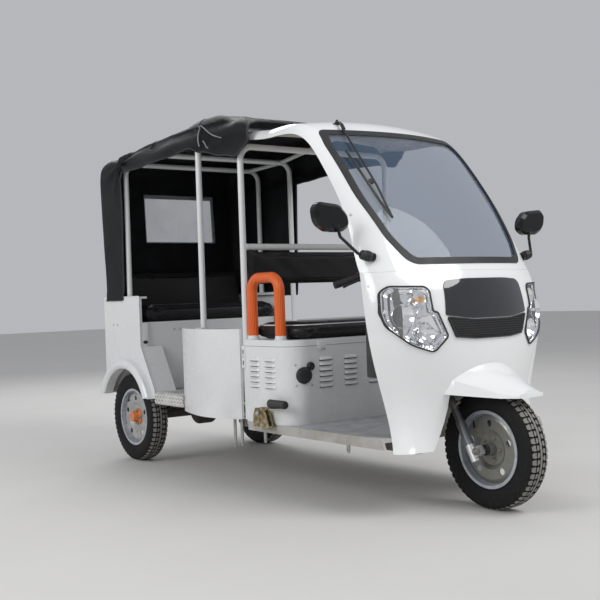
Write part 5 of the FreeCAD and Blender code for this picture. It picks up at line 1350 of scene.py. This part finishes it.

# Seat guards: bent steel tube in bright orange foam sleeves that are moulded with flats, on white
# flanges on the seat box lid.
guard_orange, shader, place = finish_of("orange foam sleeves")
flats = place.math("SINE", place.part("x") * 520 + place.part("y") * 640)
pores = place.grain(650, 3)
plug(
    shader,
    Base_Color=place.grain(7, 4).mix((0.76, 0.100, 0.008), (0.90, 0.165, 0.014)),
    Roughness=pores * 0.15 + 0.36,
    Normal=(flats * 2.2 + pores * 0.5).relief(0.45, 0.0016),
    Coat_Weight=0.25,
)
dress(guard_orange, "seat_guard_right", "seat_guard_left")
FLANGE = (
    # height over the lid, radius
    (0, 0.0330), (0.0030, 0.0330), (0.0042, 0.0318), (0.0048, 0.0285), (0.0190, 0.0272), (0.0200, 0.0262),
)
feet = Form()
seats = []
for side in (-1, 1):
    for back in (1.146, 0.912):
        spot = Vector((AHEAD - back, side * 0.472, 0.7466))
        feet.add(*turned(FLANGE, facing(spot, (0, 0, 1)), 36, capped=False))
        seats += [(spot + Vector((dx, -side * 0.022, 0.0040)), (0, 0, 1)) for dx in (-0.0195, 0.0195)]
feet = feet.made("guard_flanges", tube_white, smooth=35)
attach(feet, "chassis")

# Hand lever: yellow-passivated steel bracket under the floor's right edge, pivoted on a bolt, with
# a ribbed black rubber grip and a return spring.
lever_finish, shader, place = finish_of("yellow passivated lever")
held = place.part("x").step(0.3445, 0.3460) * place.part("z").step(0.419, 0.421)
stain = place.grain(55, 5)
ribs = place.part("x").math("SINE", place.part("x") * 980)
passivated = stain.step(0.3, 0.7).mix((0.15, 0.105, 0.05), (0.52, 0.43, 0.25))
plug(
    shader,
    Base_Color=held.mix(passivated, (0.016, 0.016, 0.017)),
    Metallic=0.5 - held * 0.5,
    Roughness=held * 0.2 + stain * 0.2 + 0.3,
    Normal=(ribs * held + stain * 0.4).relief(0.5, 0.0015),
)
dress(lever_finish, "hand_lever")
COILS, COIL_RADIUS = 7, 0.0055
coil = []
for k in range(COILS * 10 + 1):
    turns = k / 10
    x = 0.236 + COIL_RADIUS * math.cos(turns * 2 * math.pi)
    y = -0.536 + COIL_RADIUS * math.sin(turns * 2 * math.pi)
    coil.append((x, y, 0.3460 + 0.040 * turns / COILS))
spring = Form().add(*piped(coil, 0.0011, 6))
head = facing((AHEAD - 0.992, -0.5672, 0.396), (0, -1, 0))
spring.add(*turned(((0, 0.0128), (0.0016, 0.0128)), head, 24))
spring.add(*turned(((0.0016, 0.0105), (0.0082, 0.0105), (0.0095, 0.0090)), head, 6))
spring = spring.made("lever_spring_and_bolt", screw_steel, smooth=40)
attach(spring, "chassis")


def extent(spots):
    """Lowest and highest x, y and z of some spots."""
    return [Vector([pick(spot[i] for spot in spots) for i in range(3)]) for pick in (min, max)]


held_end = [v.co for v in nodes["hand_lever"].data.vertices if v.co.x > 0.40]
low, high = extent(held_end)
thick = (high.z - low.z) / 2 + 0.0022
grip_end = (high.x + 0.0015, (low.y + high.y) / 2, (low.z + high.z) / 2)
profile = [(0.0, 0.0004), (0.0012, thick * 0.6), (0.0040, thick * 0.95)]
for k in range(15):
    ridge = 0.0078 * k
    profile += [(0.0070 + ridge, thick), (0.0095 + ridge, thick + 0.0014), (0.0122 + ridge, thick + 0.0014)]
profile += [(0.1270, thick + 0.0018), (0.1300, thick + 0.0018), (0.1310, thick * 0.8)]
sleeve = Form().add(*turned(profile, facing(grip_end, (-1, 0, 0)), 32))
sleeve = sleeve.made("lever_sleeve", moulded, smooth=40)
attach(sleeve, "chassis")

# Tail lamps: one moulded lens each, amber above and red below, fluted inside, in a black gasket
# with a screw at each end.
lamp_red, shader, place = finish_of("fluted tail lamp lens")
upper = place.part("z").step(0.789, 0.791)
flutes = place.math("SINE", place.part("y") * 1100) + place.math("SINE", place.part("z") * 900)
red = place.grain(20, 2).mix((0.42, 0.010, 0.008), (0.55, 0.020, 0.012))
plug(
    shader,
    Base_Color=upper.mix(red, (0.82, 0.30, 0.02)),
    Roughness=place.grain(50, 2) * 0.06 + 0.08,
    Coat_Weight=0.8,
    Normal=flutes.relief(0.35, 0.0012),
)
dress(lamp_red, "tail_lamp_right", "tail_lamp_left")
LAMP_MIDDLE = 0.765
gaskets = Form()
seats = []
for side in (-1, 1):
    y, x = side * 0.380, AHEAD - 2.7352
    corners = [
        (x - 0.002, y + dy * 0.0505, LAMP_MIDDLE + dz * 0.0755)
        for dy, dz in ((-1, -1), (1, -1), (1, 1), (-1, 1))
    ]
    gaskets.add(*piped(rounded(corners, 0.010, 4, closed=True), 0.0035, 8, closed=True))
    gaskets.add(*slab((AHEAD - 2.7620, y - 0.0500, 0.7888), (AHEAD - 2.7612, y + 0.0500, 0.7912), 0.0003))
    seats += [((AHEAD - 2.7615, y, LAMP_MIDDLE + dz), (-1, 0, 0)) for dz in (-0.066, 0.066)]
gaskets = gaskets.made("tail_lamp_gaskets", seal_black, smooth=50, weld=0.00001)
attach(gaskets, "chassis")
screwed("tail_lamp_screws", "chassis", seats, radius=0.0032, height=0.0016)

# Canopy: black coated cloth, one sheet cut and sewn over three tube bows: roof, rear curtain and
# quarter curtains, its side edges scalloped, its foot hanging over the body panels.
REAR, FRONT, HALF, TOP, WAIST = AHEAD - 2.781, AHEAD - 1.075, 0.521, 1.82, 0.968
EDGE_BEND = 0.075
SHOULDER = 1.55
CURTAIN_LEAN = 0.038
RIDGE = (
    # ahead of the origin, height of the sheet's middle
    (REAR, 1.830), (AHEAD - 2.63, 1.848), (AHEAD - 2.1, 1.886), (AHEAD - 1.77, 1.908),
    (AHEAD - 1.56, 1.927), (AHEAD - 1.45, 1.926), (AHEAD - 1.214, 1.872), (FRONT, 1.834),
)
SCALLOP = (
    # ahead of the origin, height of the edge on the driver's right
    (REAR_BOW, 1.736), (AHEAD - 2.2, 1.735), (AHEAD - 2.068, 1.745), (AHEAD - 1.834, 1.754),
    (AHEAD - 1.63, 1.768), (FRONT_BOW, 1.735), (AHEAD - 1.30, 1.688), (AHEAD - 1.16, 1.665),
    (AHEAD - 1.115, 1.70), (FRONT, 1.735),
)
FAR_SCALLOP = (
    # ahead of the origin, height of the edge on the driver's left
    (MIDDLE_BOW, 1.664), (AHEAD - 1.982, 1.672), (AHEAD - 1.773, 1.684), (FRONT_BOW, 1.700),
    (AHEAD - 1.30, 1.690), (AHEAD - 1.16, 1.665), (AHEAD - 1.115, 1.70), (FRONT, 1.735),
)


def along_table(table, at):
    """Value of a table of (place, value) at a place, smooth between its rows."""
    if at <= table[0][0]:
        return table[0][1]
    for (a, low), (b, high) in zip(table, table[1:]):
        if at <= b:
            share = (at - a) / (b - a)
            return low + (high - low) * share * share * (3 - 2 * share)
    return table[-1][1]


def on_bows(x, y, z):
    """Where a point of the sharp box lies once the cloth is drawn over the bows."""
    reach = HALF - EDGE_BEND
    inner = Vector((max(x, REAR + EDGE_BEND), max(-reach, min(reach, y)), min(z, TOP - EDGE_BEND)))
    spot = Vector((x, y, z))
    off = spot - inner
    if off.length > 1e-6:
        spot = inner + off.normalized() * EDGE_BEND
    height = min(1.0, max(0.0, (spot.z - SHOULDER) / (TOP - SHOULDER)))
    spot.z += (along_table(RIDGE, spot.x) - TOP) * height**2
    spot.z -= 0.007 * (spot.y / HALF) ** 2 * height**4
    lean = CURTAIN_LEAN * min(1.0, (spot.z - 0.985) / 0.707)
    near = max(0.0, 1 - (spot.x - REAR) / 0.3)
    spot.x += (CURTAIN_LEAN - lean) * near
    for bow, dip in ((AHEAD - 2.28, 0.010), (AHEAD - 1.82, 0.014), (AHEAD - 1.30, 0.008)):
        spot.z -= dip * math.exp(-(((spot.x - bow) / 0.13) ** 2)) * height**4 * math.cos(spot.y / HALF * 1.3)
    return spot


def foot_of(x, y):
    """Height to cut the side edge at, so that it lies right once drawn over the bows.

    It lies on the body behind a bow and is scalloped ahead of it.
    """
    start = REAR_BOW if y < 0 else MIDDLE_BOW
    share = min(1.0, max(0.0, (x - start + 0.01) / 0.035))
    share = share * share * (3 - 2 * share)
    wanted = WAIST + (along_table(SCALLOP if y < 0 else FAR_SCALLOP, x) - WAIST) * share
    z = wanted
    for _ in range(14):
        height = max(0.0, (z - SHOULDER) / (TOP - SHOULDER))
        z = wanted - (along_table(RIDGE, x) - TOP) * height**2
    return z


def grid(rows, columns):
    """Faces over spots laid out row by row."""
    return [
        (i * columns + j, i * columns + j + 1, (i + 1) * columns + j + 1, (i + 1) * columns + j)
        for i in range(rows - 1)
        for j in range(columns - 1)
    ]


canopy_cloth, shader, place = finish_of("black coated canopy cloth")
threads, cross = [
    place.out("ShaderNodeTexWave", {"bands_direction": way}, 1, Vector=place, Scale=260, Distortion=0.6)
    for way in "XZ"
]
chalky = place.grain(9, 6)
plug(
    shader,
    Base_Color=chalky.step(0.4, 0.85).mix((0.004, 0.0045, 0.0055), (0.014, 0.016, 0.019)),
    Roughness=chalky * 0.2 + 0.34,
    Specular_IOR_Level=0.2,
    Normal=(threads + cross + place.grain(18, 4) * 2).relief(0.35, 0.0012),
)

by_bows = {bow + s for bow in (REAR_BOW, MIDDLE_BOW) for s in (-0.012, -0.004, 0.004, 0.012, 0.02)}
columns = sorted({round(REAR + (FRONT - REAR) * k / 110, 4) for k in range(111)} | by_bows)
across = [-HALF + 2 * HALF * k / 64 for k in range(65)]
drops = [k / 44 for k in range(45)]
sheet = Form()
sheet.add([(x, y, TOP) for x in columns for y in across], grid(len(columns), len(across)))
for side in (-1, 1):
    spots = [(x, side * HALF, TOP + (foot_of(x, side) - TOP) * t) for x in columns for t in drops]
    sheet.add(spots, grid(len(columns), len(drops)))
spots = [(REAR, y, TOP + (WAIST - TOP) * t) for y in across for t in drops]
sheet.add(spots, grid(len(across), len(drops)))
sheet.spots = [on_bows(*spot) for spot in sheet.spots]
canopy = sheet.made("canopy_sheet", canopy_cloth, smooth=180, weld=0.0004)

low_y, high_y, low_z, high_z = 0.062 - 0.25, 0.062 + 0.25, 1.345, 1.635


def in_window(face):
    """Whether a face of the rear curtain lies in the window's opening."""
    x, y, z = face.calc_center_median()
    return x < REAR + 0.06 and low_y < y < high_y and low_z < z < high_z


work = bmesh.new()
work.from_mesh(canopy.data)
bmesh.ops.delete(work, geom=[face for face in work.faces if in_window(face)], context="FACES")
PLEAT = (Vector((AHEAD - 1.545, 1.880)), Vector((AHEAD - 1.523, 1.735)), Vector((AHEAD - 1.290, 1.770)))


def inside_pleat(x, z):
    """How deep a spot of the side lies in the triangular pleat below the ridge, 0 to 1."""
    depth = 1.0
    for i in range(3):
        a, b = PLEAT[i], PLEAT[(i + 1) % 3]
        edge = (b - a).normalized()
        depth = min(depth, ((x - a.x) * -edge.y + (z - a.y) * edge.x) / 0.030)
    return max(0.0, depth) ** 0.7


def by_window(y, z):
    """1 away from the rear window, 0 at its binding."""
    off = max(low_y - y, y - high_y, low_z - z, z - high_z)
    return min(1.0, max(0.0, (off - 0.02) / 0.07))


for v in work.verts:
    x, y, z = v.co
    fold = noise.noise(Vector((x * 3.1, y * 4.3, z * 1.7)))
    pucker = noise.noise(Vector((x * 11, y * 17, z * 6 + 3)))
    loose = 0.35 if z > 1.74 else 1.0
    push = (fold * 0.006 + pucker * 0.002) * loose
    if x < REAR + 0.06:
        push *= by_window(y, z)
    if abs(y) > 0.49 and x > REAR_BOW:
        hang = (1.87 - z) / 0.14
        push += 0.0085 * math.sin(hang * 4.6 + x * 3 + fold * 3) * (0 < hang < 1.5)
    away = Vector((x - (AHEAD - 2.47), (z - 1.79) * 1.2))
    if abs(y) > 0.40 and away.length < 0.34:
        spin = math.atan2(away.y, away.x)
        push += 0.0085 * math.sin(spin * 9 + fold * 2) * math.exp(-((away.length / 0.17) ** 2))
    if y < -0.45:
        push -= 0.020 * inside_pleat(x, z)
    if z < 1.0:
        push = 0
    v.co += v.normal * push
    if z < 1.01:
        v.co.y += math.copysign(0.003, y) * (abs(y) > 0.5)
work.to_mesh(canopy.data)
work.free()
thick = canopy.modifiers.new("cloth", "SOLIDIFY")
thick.thickness = 0.0025
thick.offset = -1
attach(canopy, "chassis")
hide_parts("canopy")
over_cloth = felt(canopy)


def on_cloth(start, aim, lift=0.0):
    """Spot on the canopy's outside where a line from start towards aim meets it, or None."""
    spot = pressed_on(over_cloth, start, aim)[0]
    return spot and spot - Vector(aim).normalized() * lift


def hem(points, radius):
    """Rolled hem along the sheet's edge, its thickness uneven as sewn cloth is."""
    thick = [radius * (1 + 0.18 * noise.noise(Vector(p) * 40)) for p in points]
    return piped(points, thick, 10)


def thinned(points, reach):
    """The same path with its close neighbours left out."""
    kept = [points[0]]
    for p in points[1:]:
        if (p - kept[-1]).length >= reach:
            kept.append(p)
    return kept


edge_net = bmesh.new()
edge_net.from_mesh(canopy.data)
edge_net.edges.index_update()
loops = []
left = {e for e in edge_net.edges if e.is_boundary}
while left:
    first = min(left, key=lambda e: e.index)
    left.discard(first)
    chain = [first.verts[0], first.verts[1]]
    while True:
        step = next((e for e in chain[-1].link_edges if e in left), None)
        if step is None:
            break
        left.discard(step)
        chain.append(step.other_vert(chain[-1]))
    loops.append([v.co.copy() for v in chain])
edge_net.free()
binding, shader, place = finish_of("canopy binding tape")
plug(
    shader,
    Base_Color=place.grain(40, 4).mix((0.012, 0.012, 0.013), (0.032, 0.033, 0.036)),
    Roughness=place.grain(60, 3) * 0.2 + 0.45,
    Normal=place.grain(600, 2).relief(0.3, 0.0006),
)
piping, shader, place = finish_of("grey seam piping")
plug(
    shader,
    Base_Color=place.grain(60, 3).mix((0.20, 0.205, 0.21), (0.33, 0.335, 0.34)),
    Roughness=place.grain(80, 2) * 0.2 + 0.45,
)
HEM_GAP, STITCH_LIFT = 0.014, 0.0006
rolls = Form()
seam_places = []
for loop in loops:
    around_window = max(p.x for p in loop) < REAR + 0.08
    path = thinned(loop[:-1] if around_window else loop, 0.007)
    if around_window:
        middle = sum(path, Vector()) / len(path)
        rolls.add(*piped(rounded(thinned(path, 0.012), 0.004, 2, closed=True), 0.0046, 8, closed=True))
    else:
        rolls.add(*hem(path, 0.0050))
    for p, q in zip(path[:-1], path[1:]):
        along = (q - p).normalized()
        spot = None
        if around_window:
            out_of = Vector((-1, 0, 0))
            at = p + Vector((0, p.y - middle.y, p.z - middle.z)).normalized() * HEM_GAP
            spot = on_cloth(at + out_of * 0.08, -out_of, STITCH_LIFT)
        elif abs(p.y) > 0.49 and abs(along.x) > 0.6:
            out_of = Vector((0, math.copysign(1, p.y), 0))
            spot = on_cloth((p.x, math.copysign(0.7, p.y), p.z + HEM_GAP), -out_of, STITCH_LIFT)
        if spot:
            flat_along = (along - out_of * along.dot(out_of)).normalized()
            seam_places.append(framed(spot, flat_along, out_of))
SIDE_SEAMS = (
    # behind the front axle, height
    ((1.552, 1.878), (1.538, 1.842), (1.529, 1.800), (1.524, 1.762)),
    ((1.535, 1.876), (1.470, 1.840), (1.385, 1.800), (1.300, 1.775)),
    ((1.500, 1.790), (1.475, 1.755), (1.440, 1.742)),
)
for table in SIDE_SEAMS:
    path = rounded([(AHEAD - back, 0, z) for back, z in table], 0.03, 5)
    seam = [on_cloth((p.x, -0.75, p.z), (0, 1, 0), 0.0012) for p in path]
    rolls.add(*piped([p for p in seam if p], 0.0036, 10), kind=1)
roof_seams = [[(REAR + 0.05 + (FRONT - REAR - 0.06) * k / 90, y) for k in range(91)] for y in (-0.30, 0.30)]
roof_seams += [[(x, -0.50 + k / 60) for k in range(61)] for x in (AHEAD - 2.1, AHEAD - 1.56)]
for places in roof_seams:
    seam = [on_cloth((x, y, 2.2), (0, 0, -1), 0.0002) for x, y in places]
    rolls.add(*piped([p for p in seam if p], 0.0026, 8))
rolls = rolls.made("canopy_hems", binding, piping, smooth=60)
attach(rolls, "chassis")
thread, shader, place = finish_of("grey sewing thread")
plug(shader, Base_Color=place.grain(200, 2).mix((0.13, 0.13, 0.135), (0.24, 0.24, 0.245)), Roughness=0.6)
stitch = ((-0.0026, 0, 0), (-0.0014, 0, 0.0006), (0.0014, 0, 0.0006), (0.0026, 0, 0))
stitch = Form().add(*piped(stitch, 0.00055, 6))
stitch = stitch.made("stitch_pattern", thread, smooth=60)
stitches = set_out("canopy_stitches", stitch, seam_places, thread, "chassis")

# Rear window: a clear flexible sheet sewn behind the opening in the rear curtain; it bellies a
# little and has soft creases where it was folded.
clear_sheet, shader, place = finish_of("clear window sheet")
haze = place.grain(4, 4)
plug(
    shader,
    Base_Color=(0.62, 0.68, 0.72),
    Roughness=haze * 0.12 + 0.06,
    Alpha=haze.step(0.2, 0.9) * 0.14 + 0.24,
    Normal=(place.grain(6, 3) * 2 + place.grain(30, 2) * 0.3).relief(0.5, 0.004),
)
columns = [low_y - 0.012 + (high_y - low_y + 0.024) * k / 40 for k in range(41)]
rows = [low_z - 0.012 + (high_z - low_z + 0.024) * k / 30 for k in range(31)]
spots = []
for y in columns:
    for z in rows:
        spot = on_bows(REAR, y, z)
        edge = min(y - columns[0], columns[-1] - y, z - rows[0], rows[-1] - z) / 0.15
        spot.x += 0.0050 + 0.004 * min(1.0, edge) * (1 + noise.noise(Vector((1, y * 9, z * 6))))
        spots.append(spot)
pane = Form().add(spots, grid(len(columns), len(rows)))
pane = pane.made("rear_window_sheet", clear_sheet, smooth=180)
gauge = pane.modifiers.new("gauge", "SOLIDIFY")
gauge.thickness = 0.0008
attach(pane, "chassis")
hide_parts("rear_window")

# Cushions: black vinyl over foam, sewn with piping: driver's seat and backrest, rear bench and
# backrest. Each is swelled by cloth pressure from a slightly smaller block, then eased to fill its
# place between the frame's parts.
vinyl, shader, place = finish_of("black seat vinyl")
pores = place.out("ShaderNodeTexVoronoi", {}, 0, Vector=place, Scale=420)
dull = place.grain(5, 4)
plug(
    shader,
    Base_Color=dull.mix((0.007, 0.007, 0.008), (0.018, 0.018, 0.020)),
    Roughness=dull * 0.2 + 0.28,
    Specular_IOR_Level=0.35,
    Normal=(pores + dull * 3).relief(0.3, 0.0008),
)


PAD_CORNER = 0.022


def cushion(name, low, high, shrink, cap, front_corner):
    """Closed pad inside a box: its edges rounded, its front plan corners too, swelled by cloth pressure."""
    a = Vector(low) + Vector(shrink)
    b = Vector(high) - Vector(shrink)
    form = Form()
    middle, half = (a + b) / 2, (b - a) / 2
    count = [max(2, int((b - a)[i] / 0.012)) for i in range(3)]
    for axis in range(3):
        u, v = [i for i in range(3) if i != axis]
        for sign in (-1, 1):
            spots = []
            for i in range(count[u] + 1):
                for j in range(count[v] + 1):
                    p = Vector((0, 0, 0))
                    p[axis] = sign * half[axis]
                    p[u] = -half[u] + 2 * half[u] * i / count[u]
                    p[v] = -half[v] + 2 * half[v] * j / count[v]
                    spots.append(middle + p)
            form.add(spots, grid(count[u] + 1, count[v] + 1))
    for i, spot in enumerate(form.spots):
        off = Vector(spot) - middle
        bend = min(PAD_CORNER, min(half) * 0.95)
        inner = Vector([max(-half[k] + bend, min(half[k] - bend, off[k])) for k in range(3)])
        if front_corner and off.x > half.x - front_corner and abs(off.y) > half.y - front_corner:
            hub = Vector((half.x - front_corner, math.copysign(half.y - front_corner, off.y), 0))
            flat = Vector((off.x, off.y, 0)) - hub
            if flat.length > front_corner:
                flat = flat.normalized() * front_corner
            off = Vector((hub.x + flat.x, hub.y + flat.y, off.z))
            kept = 1 - bend / front_corner
            inner = Vector((hub.x + flat.x * kept, hub.y + flat.y * kept, inner.z))
        rest = off - inner
        if rest.length > bend:
            rest = rest.normalized() * bend
        form.spots[i] = middle + inner + rest
    pad = form.made(name, vinyl, smooth=180, weld=0.0005)
    pad = swelled(pad, cap)
    return pad


def swelled(pad, cap):
    """Voxel remesh, then cloth pressure for 20 frames, no point moving further than cap."""
    remesh = pad.modifiers.new("even", "REMESH")
    remesh.mode = "VOXEL"
    remesh.voxel_size = 0.0065
    bpy.context.view_layer.update()
    mesh = bpy.data.meshes.new_from_object(pad.evaluated_get(bpy.context.evaluated_depsgraph_get()))
    pad.modifiers.remove(remesh)
    mesh.materials.clear()
    mesh.materials.append(vinyl)
    pad.data = mesh
    start = [v.co.copy() for v in mesh.vertices]
    cloth = pad.modifiers.new("swell", "CLOTH")
    cloth.settings.use_pressure = True
    cloth.settings.uniform_pressure_force = 4
    cloth.settings.effector_weights.gravity = 0
    cloth.point_cache.frame_start, cloth.point_cache.frame_end = 1, 20
    for step in range(1, 21):
        bpy.context.scene.frame_set(step)
    result = bpy.data.meshes.new_from_object(pad.evaluated_get(bpy.context.evaluated_depsgraph_get()))
    pad.modifiers.remove(cloth)
    bpy.context.scene.frame_set(1)
    for v, home in zip(result.vertices, start):
        moved_by = v.co - home
        if moved_by.length > cap:
            v.co = home + moved_by.normalized() * cap
    pad.data = result
    pad.data.shade_smooth()
    return pad


white_piping, shader, place = finish_of("white vinyl piping")
plug(
    shader,
    Base_Color=place.grain(50, 3).mix((0.62, 0.62, 0.60), (0.80, 0.80, 0.78)),
    Roughness=place.grain(70, 2) * 0.15 + 0.3,
)
CUSHIONS = (
    # name, node, how much smaller the block starts, furthest swell, plan corner of the front
    ("driver_cushion", "driver_seat_cushion", (0.010, 0.010, 0.012), 0.024, 0.098),
    ("driver_back_pad", "driver_backrest", (0.008, 0.010, 0.010), 0.016, None),
    ("bench_cushion", "rear_seat_cushion", (0.010, 0.010, 0.014), 0.026, None),
    ("bench_back_pad", "rear_backrest", (0.012, 0.010, 0.012), 0.024, None),
)
for name, node, shrink, cap, front_corner in CUSHIONS:
    low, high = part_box(node)
    pad = cushion(name, low, high, shrink, cap, front_corner)
    ends = extent([v.co for v in pad.data.vertices])
    for v in pad.data.vertices:
        for i in range(3):
            share = (v.co[i] - ends[0][i]) / (ends[1][i] - ends[0][i])
            top = high[i] + (0.006 if i == 2 else -0.001)
            v.co[i] = low[i] + 0.001 + share * (top - low[i] - 0.001)
        if name == "driver_back_pad":
            slant = v.co.y * 9 + v.co.z * 14
            v.co.x += 0.0035 * noise.noise(Vector((slant, v.co.y * 2.2, math.copysign(3, v.co.x - 0.0645))))
        v.co = Vector([max(low[i], min(high[i] + (0.008 if i == 2 else 0), v.co[i])) for i in range(3)])
    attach(pad, "chassis")
    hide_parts(node)
    around_pad = felt(pad)
    low, high = extent([v.co for v in pad.data.vertices])
    middle, half = (low + high) / 2, (high - low) / 2
    thin = 2 if half.z < 0.06 else 0
    wide, tall = 1, 2 - thin
    cords = Form()
    for share in (0.62, -0.66):
        start = middle.copy()
        start[thin] += half[thin] * share
        seam = []
        for k in range(240):
            angle = 2 * math.pi * k / 240
            aim = Vector((0, 0, 0))
            aim[wide], aim[tall] = math.cos(angle) * half[wide], math.sin(angle) * half[tall]
            spot = around_pad.ray_cast(start, aim)[0]
            if spot:
                seam.append(spot)
        if len(seam) > 200:
            kind = 0 if name == "driver_cushion" and share > 0 else 1
            cords.add(*piped(seam, 0.0032, 8, closed=True), kind=kind)
    cords = cords.made(name + "_piping", white_piping, vinyl, smooth=60, weld=0.00001)
    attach(cords, "chassis")
